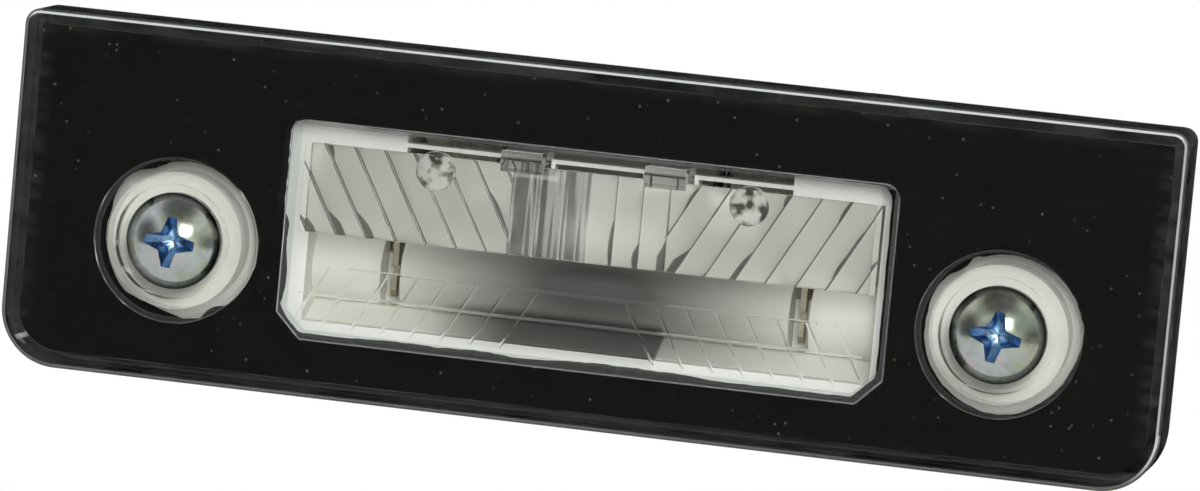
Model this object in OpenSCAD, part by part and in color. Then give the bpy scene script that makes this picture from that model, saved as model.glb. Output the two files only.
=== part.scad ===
// Number plate lamp with a fluted clear lens, a foam gasket, a housing and a festoon bulb.
// X runs along the lamp, +Z is up, and -Y is the front that the light leaves by.
// The origin is midway between the two screws, on the plane of the car's panel.
// Depths are measured from the lens's front face towards the panel.

/* [Lens plate] */
// From a screw's axis to the plate's end
plate_end = 14; // [12:0.5:18]
// From the light chamber's box up to the plate's upper edge
plate_over = 4.8; // [4:0.1:7]
// From the light chamber's box down to the plate's lower edge
plate_under = 4.4; // [4:0.1:7]
// Radius of the two upper corners
corner_top_r = 1.3; // [0.8:0.1:3]
// Radius of the two lower corners
corner_bottom_r = 4.8; // [3:0.1:6]
// Bevel round the front edge
edge_bevel = 0.35; // [0.1:0.05:0.6]
// Thickness of the front wall
lens_wall = 2.2; // [2:0.1:2.6]
// Thickness of the skirt
skirt_wall = 1.2; // [1:0.1:1.6]
// Height of the skirt, from the front face to its rear edge
skirt_h = 5.8; // [5.4:0.1:6.2]
// Gap between the skirt and what lies inside it
skirt_gap = 0.3; // [0.2:0.05:0.6]

/* [Window] */
// How far the window pocket reaches past the mouth at each end
window_side = 1.5; // [1.3:0.1:2.4]
// How far the pocket reaches over the mouth's notch
window_over = 0.25; // [0.1:0.05:1]
// How far the pocket reaches under the mouth
window_under = 1.3; // [1:0.1:2]
// Radius of the pocket's upper corners
window_corner_r = 1.3; // [0.8:0.1:2]
// Length of the pocket's slanted lower corners
window_chamfer = 2.1; // [1.6:0.1:2.6]
// Depth of the pocket into the front wall
pocket_d = 0.45; // [0.3:0.05:0.6]

/* [Flutes] */
// Width of one flute
flute_pitch = 2.2; // [1.8:0.1:2.6]
// Height of a flute's step
flute_step = 0.9; // [0.5:0.05:1.2]
// Chamfer on a flute's crest
flute_edge = 0.2; // [0.05:0.05:0.3]
// Lean of the side flutes from upright
flute_lean = 29; // [20:1:35]
// Flutes in the upright middle bank
upright_count = 6; // [4:2:6]
// How much further out the left flutes start than the right ones
left_flutes_out = 0.9; // [0:0.1:2.2]
// How far the fluted strip stays inside the mouth at each end
strip_side = 0.3; // [0.1:0.05:1]
// How far the fluted strip reaches over the mouth's top
strip_over = 0.25; // [0:0.05:0.4]
// From the shield's top to the fluted strip
strip_under = 0.15; // [0:0.05:0.6]
// From the mouth's bottom up to the ribbed strip's top
rib_rise = 4.95; // [4:0.05:6]
// From the mouth's bottom up to the line across the ribbed strip
rib_line_rise = 2.6; // [2:0.1:3.4]
// Width of one fine rib
rib_w = 0.26; // [0.2:0.02:0.4]
// Height of one fine rib
rib_h = 0.06; // [0.04:0.01:0.2]
// How much higher the two lines along the ribbed strip are
rib_line_over = 0.02; // [0.02:0.01:0.1]

/* [Screws] */
// From the light chamber's box to a screw's axis
screw_side = 9.1; // [8.6:0.1:11]
// Diameter of the screw's plain neck, inside the lamp
neck_d = 3.7; // [3.4:0.1:3.8]
// Diameter of the screw's thread, behind the lamp
shank_d = 4.2; // [3.8:0.1:4.4]
// Length of the screw below its head
screw_len = 22; // [18:0.5:26]
// Diameter of the screw's head
head_d = 8; // [7.4:0.1:8.4]
// Height of the screw's head
head_h = 2.7; // [2.4:0.1:3]
// Radial gap round the shank in the lens and the housing
shank_gap = 0.35; // [0.2:0.05:0.5]
// Diameter of the counterbore in the lens
counterbore_d = 9.5; // [9.2:0.1:10]
// Depth of the counterbore
counterbore_depth = 1.55; // [1.2:0.05:1.8]
// Outer diameter of the lens's screw boss
boss_d = 11.4; // [11:0.1:12]
// Diameter of the shallow ring recess round the boss
ring_d = 13.8; // [13.2:0.1:14]

/* [Gasket and seal] */
// Thickness of the foam gasket behind the lens
foam_t = 2.4; // [2.2:0.1:2.8]
// How far the gasket's cut-outs stay inside the lens's recesses
foam_overhang = 0.3; // [0.1:0.05:0.4]
// How far the gasket sits off its place along the lamp
foam_shift_x = 0.3; // [0:0.05:0.3]
// How far the gasket sits off its place upwards
foam_shift_z = 0.2; // [0:0.05:0.25]
// How far the gasket's squeezed rim ends inside the skirt
foam_rim_short = 0.3; // [0.1:0.05:0.8]
// Thickness of the seal on the panel side
seal_t = 1.4; // [1.2:0.1:2]
// How far the seal ends inside the skirt's outside
seal_inset = 0.15; // [0.1:0.05:0.6]

/* [Housing] */
// Thickness of the housing's flange
flange_t = 1.5; // [1.4:0.1:2]
// Wall of the light chamber
wall_t = 1.5; // [1.3:0.1:1.8]
// From a contact's foot to the mouth's end
mouth_side = 0.9; // [0.6:0.1:2]
// From the bulb's axis up to the mouth's top
mouth_over = 3.2; // [3:0.05:3.6]
// From the shield down to the mouth's bottom
mouth_under = 1.4; // [1.2:0.1:2]
// How far the mouth's notch ends short of a contact
notch_side = 0.8; // [0.6:0.1:2]
// Height of the notch above the mouth's top
notch_rise = 1.8; // [1.6:0.1:2.4]
// Radius of the rounded shield in front of the bulb
shield_r = 3.1; // [2.9:0.05:3.2]
// Height of the shield's middle below the screw line
shield_drop = 1.2; // [1.1:0.05:1.3]
// Depth of the shield's front below the lens's front
shield_depth = 7; // [6.9:0.1:7.4]
// Width of the two contact slots in the shield
slot_w = 1.7; // [1.6:0.1:2]

/* [Bulb and contacts] */
// Diameter of the bulb's glass
bulb_d = 10.5; // [10:0.1:10.6]
// Length of the bulb over its two tips
bulb_len = 36; // [35.6:0.1:36.6]
// Height of the bulb's axis above the screw line
bulb_rise = 5.9; // [5.8:0.05:6]
// Gap between the bulb's glass and the shield's upper rear edge
bulb_gap = 0.34; // [0.3:0.01:0.6]
// Length of a cap, from the bulb's tip to the glass's shoulder
cap_len = 8.8; // [8.6:0.1:9.2]
// Length of a contact's riveted foot
contact_foot = 6; // [5.8:0.1:7]
// Thickness of the glass
glass_t = 0.6; // [0.5:0.05:0.8]
// Diameter of a cap's cylinder
cap_d = 8.5; // [8.2:0.1:8.8]
// Thickness of the cap's sheet
cap_t = 0.4; // [0.3:0.05:0.5]
// Thickness of a spring contact's sheet
contact_t = 0.5; // [0.4:0.05:0.6]
// Width of a terminal tab
tab_w = 6.3; // [6:0.1:6.5]
// Thickness of a terminal tab
tab_t = 0.8; // [0.6:0.05:1]
// Length of a tab behind the chamber
tab_out = 8; // [7:0.5:10]
// Diameter of a rivet's shank
rivet_d = 2; // [1.8:0.1:2.4]

/* [Hidden] */
$fn = 64;
eps = 0.01;
fit = 0.05;
through = 60;
past = 1;

// Depths of the stack
foam_front = lens_wall;
flange_front = foam_front + foam_t;
flange_rear = flange_front + flange_t;
panel_depth = flange_rear + seal_t;
front_y = -panel_depth;

// The contacts along the lamp, worked out from the bulb
tip_half = bulb_len / 2;
contact_tip_out = 1;
contact_inner_x = tip_half - contact_tip_out;
contact_foot_end = contact_inner_x + contact_foot;
contact_pad_r = 3.7;
contact_stem_w = 4;
contact_hole_gap = 0.06;

// The rounded shield in the chamber's mouth, and the bulb's axis behind it
shield_axis_depth = shield_depth + shield_r;
shield_top = shield_r - shield_drop;
shield_foot_depth = shield_axis_depth - 0.4;
shield_foot = -shield_drop - shield_r;
bulb_depth = shield_axis_depth + sqrt(max(0, pow(bulb_d / 2 + bulb_gap, 2) - pow(bulb_rise - shield_top, 2)));

// The chamber and its mouth
chamber_gap = 0.55;
chamber_rear = bulb_depth + bulb_d / 2 + chamber_gap;
chamber_top = bulb_rise + bulb_d / 2 + chamber_gap;
chamber_floor = bulb_rise - bulb_d / 2 - chamber_gap;
chamber_r = 2.4;
mouth_w = 2 * (contact_foot_end + mouth_side);
mouth_top = bulb_rise + mouth_over;
mouth_drop = mouth_under - shield_foot;
notch_w = 2 * (contact_inner_x - notch_side);
notch_top = mouth_top + notch_rise;

// The housing's outside
box_w = mouth_w + 2 * wall_t;
box_rear = chamber_rear + wall_t;
box_top = chamber_top + wall_t;
box_floor = chamber_floor - wall_t;
front_box_bottom = -mouth_drop - wall_t;
front_box_rear = shield_axis_depth + wall_t;
outer_r = chamber_r + wall_t;

// The plate, from the box outwards
screw_span = box_w + 2 * screw_side;
plate_w = screw_span + 2 * plate_end;
plate_top = box_top + plate_over;
plate_bottom = front_box_bottom - plate_under;
plate_h = plate_top - plate_bottom;
plate_rise = (plate_top + plate_bottom) / 2;
inner_w = plate_w - 2 * skirt_wall;
inner_h = plate_h - 2 * skirt_wall;
nested_w = inner_w - 2 * skirt_gap;
nested_h = inner_h - 2 * skirt_gap;
nested_inset = skirt_wall + skirt_gap;
foam_rim_end = skirt_h - foam_rim_short;
seal_w = plate_w - 2 * seal_inset;
seal_h = plate_h - 2 * seal_inset;

// The window and its strips of flutes and ribs
window_w = mouth_w + 2 * window_side;
window_top = notch_top + window_over;
window_drop = mouth_drop + window_under;
strip_w = mouth_w - 2 * strip_side;
strip_top = mouth_top + strip_over;
strip_bottom = shield_top + strip_under;
strip_h = strip_top - strip_bottom;
bank_half = upright_count * flute_pitch / 2;
pocket_floor = lens_wall - pocket_d;
lean_pitch = flute_pitch / cos(flute_lean);
flute_lip = 0.04;
rib_bottom = -mouth_drop;
rib_strip_top = rib_bottom + rib_rise;
rib_strip_line = rib_bottom + rib_line_rise;
rib_end_gap = 4;
ejector_d = 3.2;
ejector_out = 6.5;
ejector_x = bank_half + ejector_out;
ejector_z = strip_top - 1.25;
gate_w = 2.4;
gate_t = 0.12;
gate_x = mouth_w / 2 - 1;

// The lugs that locate the lens in the housing's notch, and the bar under them
lug_w = 3.4;
lug_x = 6;
lug_bottom = mouth_top - 0.35;
lug_top = notch_top - 0.45;
lug_end = flange_rear + 0.5;
lug_gap = 0.25;
bar_t = 0.35;
bar_top = notch_top - 1;
bar_half = notch_w / 2;
bar_dip = lug_bottom - lug_gap;

// The contacts across the lamp, their tabs and the terminals
stem_front = bulb_depth - contact_stem_w / 2;
tab_front = shield_axis_depth - 1.5;
tab_rear = shield_axis_depth - 0.2;
tab_drop = 0.9 - mouth_drop + mouth_under;
tab_corner = 0.6;
slot_end_gap = 0.5;
notch_d = 0.9;
rivet_inset = 2.7;
terminal_x = contact_foot_end - rivet_inset;
rivet_depth = bulb_depth;
rivet_head_d = 3.4;
rivet_head_h = 0.7;
terminal_start = front_box_rear + 0.1;
guide_t = 1;
guide_h = 2;
tab_hole_d = 1.8;
tab_point = 1.2;
tab_taper = 1;

// The bulb
glass_half = tip_half - cap_len;
shoulder_r = 1.4;
cap_gap = 0.7;
cap_start = glass_half + cap_gap;
cap_straight = 3.9;
tip_r = 1.6;
neck_r = cap_d / 2 - cap_t - fit;
neck_in_cap = 2.6;
neck_half = cap_start + neck_in_cap;
solder_r = 0.9;
solder_h = 0.35;
cone_start = cap_start + cap_straight;
cap_end = tip_half - solder_h;
lead_r = 0.25;
filament_half = 5;
coil_r = 0.5;
wire_r = 0.09;
coil_turns = 14;
coil_steps = 8;
wire_sides = 4;

// The screws and their washers
seat_depth = counterbore_depth;
tip_len = 3.2;
head_rim = 0.8;
recess_span = 4.5;
recess_arm = 0.95;
recess_depth = 1.9;
recess_cone_r = 0.9;
retainer_d = 8;
retainer_t = 0.8;
seal_hole_d = retainer_d + 1.6;
boss_gap = 0.05;
seal_box_gap = 0.5;

// Distance from the bulb's axis at which the cap's cone has this place along the lamp
function cone_r(x) = cap_d / 2 - (x - cone_start) * (cap_d / 2 - tip_r) / (cap_end - cone_start);

// Stands a front-view outline up as a slab from one depth to another
module slab(from, to) {
    translate([0, front_y + to, 0]) rotate([90, 0, 0]) linear_extrude(to - from) children();
}

// Runs a side-view outline (depth, height) along the lamp between two places
module run(from, to) {
    translate([from, front_y, 0]) rotate([90, 0, 90]) linear_extrude(to - from) children();
}

// A round bar along the depth
module bar(x, z, r, from, to) {
    translate([x, front_y + to, z]) rotate([90, 0, 0]) cylinder(r = r, h = to - from);
}

// Both ends of the lamp
module both_ends() {
    for (side = [-1, 1]) translate([side * screw_span / 2, 0, 0]) children();
}

// Plate outline about its own middle, with small upper and large lower corners
module plate_outline(w, h, inset) {
    top_r = max(corner_top_r - inset, 0.3);
    bottom_r = max(corner_bottom_r - inset, 0.3);
    translate([0, plate_rise]) {
        translate([-w / 2, -h / 2 + bottom_r]) square([w, h - bottom_r - top_r]);
        translate([-w / 2 + bottom_r, -h / 2]) square([w - 2 * bottom_r, h / 2]);
        translate([-w / 2 + top_r, 0]) square([w - 2 * top_r, h / 2]);
        for (side = [-1, 1]) {
            translate([side * (w / 2 - top_r), h / 2 - top_r]) circle(top_r);
            translate([side * (w / 2 - bottom_r), -h / 2 + bottom_r]) circle(bottom_r);
        }
    }
}

// Window outline with round upper and slanted lower corners, drawn in by an inset
module window_outline(inset) {
    half = window_w / 2 - inset;
    top = window_top - inset;
    bottom = -window_drop + inset;
    r = window_corner_r;
    polygon([
        [-half, top - r], [-half, bottom + window_chamfer], [-half + window_chamfer, bottom],
        [half - window_chamfer, bottom], [half, bottom + window_chamfer], [half, top - r]
    ]);
    translate([-half + r, top - r - eps]) square([2 * (half - r), r + eps]);
    for (side = [-1, 1]) translate([side * (half - r), top - r]) circle(r);
}

// One sawtooth flute, upright, with its step on the side that the sign gives
module flute(len, side) {
    root = pocket_floor - eps;
    translate([0, front_y + root, -len / 2]) linear_extrude(len)
        polygon([
            [0, 0], [side * flute_pitch, 0], [side * flute_pitch, flute_step - flute_edge],
            [side * (flute_pitch - flute_edge), flute_step - flute_edge * flute_step / flute_pitch],
            [0, flute_lip]
        ]);
}

// The upright flutes on one side of the middle
module upright_bank(side) {
    for (i = [0 : upright_count / 2 - 1])
        translate([side * i * flute_pitch, 0, strip_bottom + strip_h / 2]) flute(strip_h, side);
}

// The leaning flutes on one side, trimmed to the strip
module leaning_bank(side) {
    reach = strip_w / 2 - bank_half;
    across = strip_h * tan(flute_lean);
    count = ceil((reach + across) / lean_pitch);
    start = bank_half - across / 2 + (side < 0 ? left_flutes_out : 0);
    intersection() {
        for (i = [-2 : count])
            translate([side * (start + i * lean_pitch), 0, strip_bottom + strip_h / 2])
                rotate([0, side * flute_lean, 0]) flute(strip_h / cos(flute_lean) + 2 * flute_pitch, side);
        translate([side > 0 ? bank_half : -strip_w / 2, front_y, strip_bottom])
            cube([reach, pocket_floor + flute_step, strip_h]);
    }
}

// One fine rib with a three-cornered section, centred where it is placed
module fine_rib(len, h) {
    translate([0, front_y + pocket_floor, -len / 2]) linear_extrude(len)
        polygon([[-rib_w / 2, -eps], [rib_w / 2, -eps], [0, h]]);
}

// The faint ribs of the lower strip, which lean the other way, and the two lines above and across it
module fine_ribs() {
    drop = rib_strip_top - rib_bottom;
    reach = strip_w / 2;
    across = drop * tan(flute_lean);
    count = ceil(reach / lean_pitch) - 2;
    intersection() {
        for (side = [-1, 1]) for (i = [0 : count])
            translate([side * (2 * lean_pitch + i * lean_pitch), 0, rib_strip_top - drop / 2])
                rotate([0, -side * flute_lean, 0]) fine_rib(drop / cos(flute_lean) + across, rib_h);
        translate([-reach, front_y, rib_bottom]) cube([2 * reach, lens_wall, drop]);
    }
    for (z = [rib_strip_top, rib_strip_line])
        translate([0, 0, z]) rotate([0, 90, 0])
            fine_rib(strip_w - (z == rib_strip_top ? 2 * rib_end_gap : 0), rib_h + rib_line_over);
}

// Clear tray with bevelled front edge, fluted window, screw bosses, lugs and gate mark
module lens() color([0.86, 0.9, 0.88, 0.5]) {
    difference() {
        union() {
            difference() {
                hull() {
                    slab(0, eps) plate_outline(plate_w - 2 * edge_bevel, plate_h - 2 * edge_bevel, edge_bevel);
                    slab(edge_bevel, skirt_h) plate_outline(plate_w, plate_h, 0);
                }
                slab(lens_wall, skirt_h + eps) plate_outline(inner_w, inner_h, skirt_wall);
                slab(pocket_floor, lens_wall + eps) window_outline(0);
                both_ends() bar(0, 0, ring_d / 2, pocket_floor, lens_wall + eps);
            }
            both_ends() bar(0, 0, boss_d / 2, pocket_floor - eps, flange_front - boss_gap);
            for (side = [-1, 1]) {
                upright_bank(side);
                leaning_bank(side);
                bar(side * ejector_x, ejector_z, ejector_d / 2, pocket_floor - eps, pocket_floor + flute_step);
                translate([side * lug_x - lug_w / 2, front_y + pocket_floor - eps, lug_bottom])
                    cube([lug_w, lug_end - pocket_floor, lug_top - lug_bottom]);
            }
            fine_ribs();
            translate([gate_x - gate_w / 2, front_y + lens_wall / 2, plate_top - eps])
                cube([gate_w, skirt_h - lens_wall, gate_t]);
        }
        both_ends() {
            bar(0, 0, counterbore_d / 2, -eps, counterbore_depth);
            bar(0, 0, shank_d / 2 + shank_gap, 0, flange_front + eps);
        }
    }
}

// Foam sheet in the lens's tray, with a rim squeezed in round the flange and openings a little off their place
module lens_gasket() color([0.1, 0.1, 0.1]) difference() {
    slab(foam_front, foam_rim_end) plate_outline(inner_w - 2 * fit, inner_h - 2 * fit, skirt_wall + fit);
    slab(flange_front, foam_rim_end + eps) plate_outline(nested_w + 2 * fit, nested_h + 2 * fit, nested_inset - fit);
    translate([foam_shift_x, 0, foam_shift_z]) {
        slab(foam_front - eps, flange_front + eps) window_outline(foam_overhang);
        both_ends() bar(0, 0, ring_d / 2 - foam_overhang, foam_front - eps, flange_front + eps);
    }
}

// Side view of the chamber's inside, with the rounded shield left standing in its mouth
module chamber_section() {
    back = chamber_rear - chamber_r;
    difference() {
        union() {
            translate([flange_front - eps, -mouth_drop]) square([flange_t + 2 * eps, mouth_drop + mouth_top]);
            polygon([
                [flange_rear - eps, -mouth_drop], [shield_foot_depth, shield_foot + 0.2],
                [shield_axis_depth, chamber_floor], [shield_axis_depth, chamber_top], [flange_rear - eps, chamber_top]
            ]);
            translate([shield_axis_depth - eps, chamber_floor])
                square([chamber_rear - shield_axis_depth + eps, chamber_top - chamber_r - chamber_floor]);
            translate([shield_axis_depth - eps, chamber_top - chamber_r - eps])
                square([back - shield_axis_depth + eps, chamber_r + eps]);
            translate([back, chamber_top - chamber_r]) circle(chamber_r);
        }
        intersection() {
            translate([shield_axis_depth, -shield_drop]) circle(shield_r);
            translate([0, -through]) square([shield_axis_depth, 2 * through]);
        }
    }
}

// Side view of the housing's outside behind the flange
module box_section() {
    translate([flange_rear - eps, front_box_bottom]) square([front_box_rear - flange_rear, box_floor - front_box_bottom + eps]);
    translate([flange_rear - eps, box_floor]) square([box_rear - flange_rear, box_top - box_floor - outer_r]);
    translate([flange_rear - eps, box_top - outer_r - eps]) square([box_rear - outer_r - flange_rear, outer_r + eps]);
    translate([box_rear - outer_r, box_top - outer_r]) circle(outer_r);
}

// The slot in the shield that a contact's front tab stands in
module contact_slot(side) {
    mid = side * (contact_inner_x + contact_t / 2);
    run(mid - slot_w / 2, mid + slot_w / 2)
        translate([flange_rear, tab_drop - slot_end_gap])
            square([shield_axis_depth - flange_rear, shield_top + 1 - tab_drop + slot_end_gap]);
}

// The thin bar across the notch, which steps down under each lug
module stepped_bar() {
    half_dip = lug_w / 2 + lug_gap;
    dip_top = bar_dip;
    difference() {
        translate([-bar_half - eps, dip_top - bar_t]) square([2 * (bar_half + eps), bar_top - dip_top + bar_t]);
        for (side = [-1, 1]) translate([side * lug_x, 0]) {
            translate([-half_dip, dip_top]) square([2 * half_dip, bar_top]);
        }
        for (span = [[-bar_half - 1, -lug_x - half_dip - bar_t], [-lug_x + half_dip + bar_t, lug_x - half_dip - bar_t],
                     [lug_x + half_dip + bar_t, bar_half + 1]])
            translate([span[0], dip_top - bar_t - 1]) square([span[1] - span[0], bar_top - bar_t - dip_top + bar_t + 1]);
    }
}

// Flange, mouth, shield and light chamber in one moulding
module housing() color([0.8, 0.8, 0.77]) {
    difference() {
        union() {
            slab(flange_front, flange_rear) plate_outline(nested_w, nested_h, nested_inset);
            run(-box_w / 2, box_w / 2) box_section();
        }
        run(-mouth_w / 2, mouth_w / 2) chamber_section();
        slab(flange_front - eps, flange_rear + eps)
            translate([-notch_w / 2, mouth_top - eps]) square([notch_w, notch_top - mouth_top]);
        for (side = [-1, 1]) {
            contact_slot(side);
            translate([side * terminal_x, front_y + rivet_depth, chamber_floor - wall_t - past])
                cylinder(d = rivet_d + 2 * fit, h = wall_t + 2 * past);
        }
        both_ends() bar(0, 0, shank_d / 2 + shank_gap, flange_front - eps, flange_rear + eps);
    }
    slab(flange_front, flange_rear) stepped_bar();
    for (side = [-1, 1]) for (edge = [-1, 1])
        translate([side * terminal_x + edge * (tab_w / 2 + fit + guide_t / 2) - guide_t / 2,
                   front_y + front_box_rear - eps, box_floor - guide_h])
            cube([guide_t, box_rear - front_box_rear, guide_h + eps]);
}

// Foam frame between the flange and the car's panel
module panel_seal() color([0.12, 0.12, 0.12]) difference() {
    slab(flange_rear, panel_depth) plate_outline(seal_w, seal_h, seal_inset);
    translate([-box_w / 2 - seal_box_gap, front_y + flange_rear - eps, front_box_bottom - seal_box_gap])
        cube([box_w + 2 * seal_box_gap, seal_t + 2 * eps, box_top - front_box_bottom + 2 * seal_box_gap]);
    both_ends() bar(0, 0, seal_hole_d / 2, flange_rear - eps, panel_depth + eps);
}

// Spring contact: round pad with the cap's hole, stem, front tab and riveted foot
module contact(side) color([0.78, 0.68, 0.45]) {
    inner = side > 0 ? contact_inner_x : -contact_inner_x - contact_t;
    hole_r = cone_r(contact_inner_x) + contact_hole_gap;
    run(inner, inner + contact_t) difference() {
        union() {
            translate([bulb_depth, bulb_rise]) circle(contact_pad_r);
            translate([stem_front, chamber_floor]) square([contact_stem_w, bulb_rise - chamber_floor]);
            polygon([
                [stem_front + eps, chamber_floor], [stem_front + eps, shield_top + tab_corner],
                [tab_front + tab_corner, shield_top + tab_corner], [tab_front, shield_top - tab_corner],
                [tab_front, tab_drop + tab_corner], [tab_front + tab_corner, tab_drop],
                [tab_rear, tab_drop], [tab_rear, chamber_floor]
            ]);
        }
        translate([bulb_depth, bulb_rise]) circle(hole_r);
        translate([tab_front - eps, -shield_drop - notch_d / 2]) square([notch_d, notch_d]);
    }
    difference() {
        translate([side > 0 ? contact_inner_x : -contact_foot_end, front_y + stem_front, chamber_floor])
            cube([contact_foot, contact_stem_w, contact_t]);
        translate([side * terminal_x, front_y + rivet_depth, chamber_floor - past])
            cylinder(d = rivet_d + 2 * fit, h = contact_t + 2 * past);
    }
}

// Flat tab under the chamber floor, with the plug's blade behind it
module terminal(side) color([0.85, 0.75, 0.45]) {
    tip = box_rear + tab_out;
    difference() {
        translate([side * terminal_x, front_y, box_floor - tab_t]) linear_extrude(tab_t)
            polygon([
                [-tab_w / 2, terminal_start], [tab_w / 2, terminal_start], [tab_w / 2, tip - tab_point],
                [tab_w / 2 - tab_taper, tip], [-tab_w / 2 + tab_taper, tip], [-tab_w / 2, tip - tab_point]
            ]);
        translate([side * terminal_x, front_y + rivet_depth, box_floor - tab_t - past])
            cylinder(d = rivet_d + 2 * fit, h = tab_t + 2 * past);
        translate([side * terminal_x, front_y + box_rear + tab_out / 2, box_floor - tab_t - past])
            cylinder(d = tab_hole_d, h = tab_t + 2 * past);
    }
}

// Rivet through foot, floor and tab, with a head at each end
module rivet(side) color([0.8, 0.72, 0.5]) {
    head_at = chamber_floor + contact_t;
    tail_at = box_floor - tab_t;
    translate([side * terminal_x, front_y + rivet_depth, 0]) rotate_extrude() {
        translate([0, tail_at - rivet_head_h]) square([rivet_d / 2, head_at - tail_at + 2 * rivet_head_h]);
        translate([0, head_at]) square([rivet_head_d / 2, rivet_head_h]);
        translate([0, tail_at - rivet_head_h]) square([rivet_head_d / 2 - 0.2, rivet_head_h]);
    }
}

// Places a body of revolution on the bulb's axis
module on_bulb_axis() {
    translate([0, front_y + bulb_depth, bulb_rise]) rotate([0, 90, 0]) children();
}

// Half section of the glass: long body, round shoulders and straight necks
module glass_section(inset) {
    r = bulb_d / 2 - inset;
    half = glass_half - inset;
    shoulder = shoulder_r - (inset > 0 ? inset / 2 : 0);
    neck = neck_r - inset;
    translate([0, -half]) square([r - shoulder, 2 * half]);
    translate([0, -half + shoulder]) square([r, 2 * (half - shoulder)]);
    for (side = [-1, 1]) translate([r - shoulder, side * (half - shoulder)]) circle(shoulder);
    translate([0, -neck_half + inset]) square([neck, 2 * (neck_half - inset)]);
}

// Closed glass tube with the two wires' bores in its ends
module bulb_glass() color([0.9, 0.93, 0.95, 0.4]) on_bulb_axis() difference() {
    rotate_extrude() glass_section(0);
    rotate_extrude() difference() {
        glass_section(glass_t);
        translate([-through, -through]) square([through, 2 * through]);
    }
    cylinder(r = lead_r + fit / 2, h = 2 * tip_half, center = true);
}

// Metal cap drawn over one neck: cylinder, cone and open tip
module bulb_cap(side) color([0.75, 0.74, 0.7]) on_bulb_axis() mirror([0, 0, side > 0 ? 0 : 1]) {
    outer = cap_d / 2;
    rotate_extrude() polygon([
        [outer - cap_t, cap_start], [outer, cap_start], [outer, cone_start], [tip_r, cap_end],
        [solder_r, cap_end], [solder_r, cap_end - cap_t], [tip_r - cap_t / 2, cap_end - cap_t], [outer - cap_t, cone_start]
    ]);
}

// Drop of solder that closes a cap's tip
module solder(side) color([0.7, 0.7, 0.72]) on_bulb_axis() mirror([0, 0, side > 0 ? 0 : 1])
    translate([0, 0, cap_end]) intersection() {
        translate([0, 0, -solder_r * 1.6 + solder_h]) sphere(r = solder_r * 1.6);
        cylinder(r = through, h = solder_h);
    }

// Lead wire from the filament's end to the cap's tip
module filament_lead(side) color([0.7, 0.7, 0.68]) on_bulb_axis() mirror([0, 0, side > 0 ? 0 : 1])
    translate([0, 0, filament_half + wire_r]) cylinder(r = lead_r, h = cap_end - filament_half - wire_r, $fn = 16);

// Centre line of the coiled wire, about the bulb's axis
function coil_point(t) = let (a = 360 * coil_turns * t) [
    coil_r * cos(a), coil_r * sin(a), filament_half * (2 * t - 1)
];

// Ring of points round the wire at one place along the coil
function wire_ring(t) = let (
    a = 360 * coil_turns * t,
    p = coil_point(t),
    out = [cos(a), sin(a), 0],
    up = [0, 0, 1]
) [for (k = [0 : wire_sides - 1]) p + wire_r * (cos(360 * k / wire_sides) * out + sin(360 * k / wire_sides) * up)];

// Coiled tungsten wire between the two leads
module filament() color([0.35, 0.33, 0.32]) on_bulb_axis() {
    rings = coil_turns * coil_steps;
    points = [for (i = [0 : rings]) each wire_ring(i / rings)];
    sides = [for (i = [0 : rings - 1], k = [0 : wire_sides - 1]) let (
        a = i * wire_sides + k,
        b = i * wire_sides + (k + 1) % wire_sides
    ) each [[a, b, b + wire_sides], [a, b + wire_sides, a + wire_sides]]];
    first = [for (k = [1 : wire_sides - 2]) [0, k + 1, k]];
    start = rings * wire_sides;
    last = [for (k = [1 : wire_sides - 2]) [start, start + k, start + k + 1]];
    polyhedron(points, concat(first, sides, last));
}

// Pan head screw with a cross recess, a thinner neck inside the lamp and a pointed end
module screw() color([0.75, 0.77, 0.75]) translate([0, front_y + seat_depth, 0]) rotate([90, 0, 0]) {
    dome_r = (pow(head_d / 2, 2) + pow(head_h - head_rim, 2)) / (2 * (head_h - head_rim));
    difference() {
        intersection() {
            cylinder(d = head_d, h = head_h);
            translate([0, 0, head_h - dome_r]) sphere(r = dome_r);
        }
        intersection() {
            translate([0, 0, head_h - recess_depth]) linear_extrude(recess_depth + 1) {
                square([recess_span, recess_arm], center = true);
                square([recess_arm, recess_span], center = true);
            }
            translate([0, 0, head_h - recess_depth])
                cylinder(r1 = recess_cone_r, r2 = recess_span / 2 + 0.3, h = recess_depth);
        }
    }
    thread_top = seat_depth - panel_depth;
    translate([0, 0, thread_top - eps]) cylinder(d = neck_d, h = eps - thread_top + eps);
    translate([0, 0, tip_len - screw_len]) cylinder(d = shank_d, h = screw_len - tip_len + thread_top);
    translate([0, 0, -screw_len]) cylinder(r1 = 0.3, r2 = shank_d / 2, h = tip_len);
}

// Push-on washer that keeps a screw in the loose lamp
module retainer() color([0.15, 0.15, 0.15]) difference() {
    bar(0, 0, retainer_d / 2, flange_rear, flange_rear + retainer_t);
    bar(0, 0, neck_d / 2 + fit, flange_rear - eps, flange_rear + retainer_t + eps);
}

lens();
lens_gasket();
housing();
panel_seal();
contact(-1);  // contact_left
contact(1);  // contact_right
terminal(-1);  // terminal_left
terminal(1);  // terminal_right
rivet(-1);  // rivet_left
rivet(1);  // rivet_right
bulb_glass();
bulb_cap(-1);  // bulb_cap_left
bulb_cap(1);  // bulb_cap_right
filament();
filament_lead(-1);  // filament_lead_left
filament_lead(1);  // filament_lead_right
solder(-1);  // solder_left
solder(1);  // solder_right
translate([-screw_span / 2, 0, 0]) screw();  // screw_left
translate([screw_span / 2, 0, 0]) screw();  // screw_right
translate([-screw_span / 2, 0, 0]) retainer();  // retainer_left
translate([screw_span / 2, 0, 0]) retainer();  // retainer_right
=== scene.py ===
"""Dresses the number plate lamp: clear lens, torn foam, threaded screws, light, the photograph's camera."""

from __future__ import annotations

import logging
import math
from dataclasses import dataclass, field
from enum import Enum
from functools import reduce
from typing import Callable, Iterable, Sequence

import bmesh
import bpy
from mathutils import Matrix, Vector, noise

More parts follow.
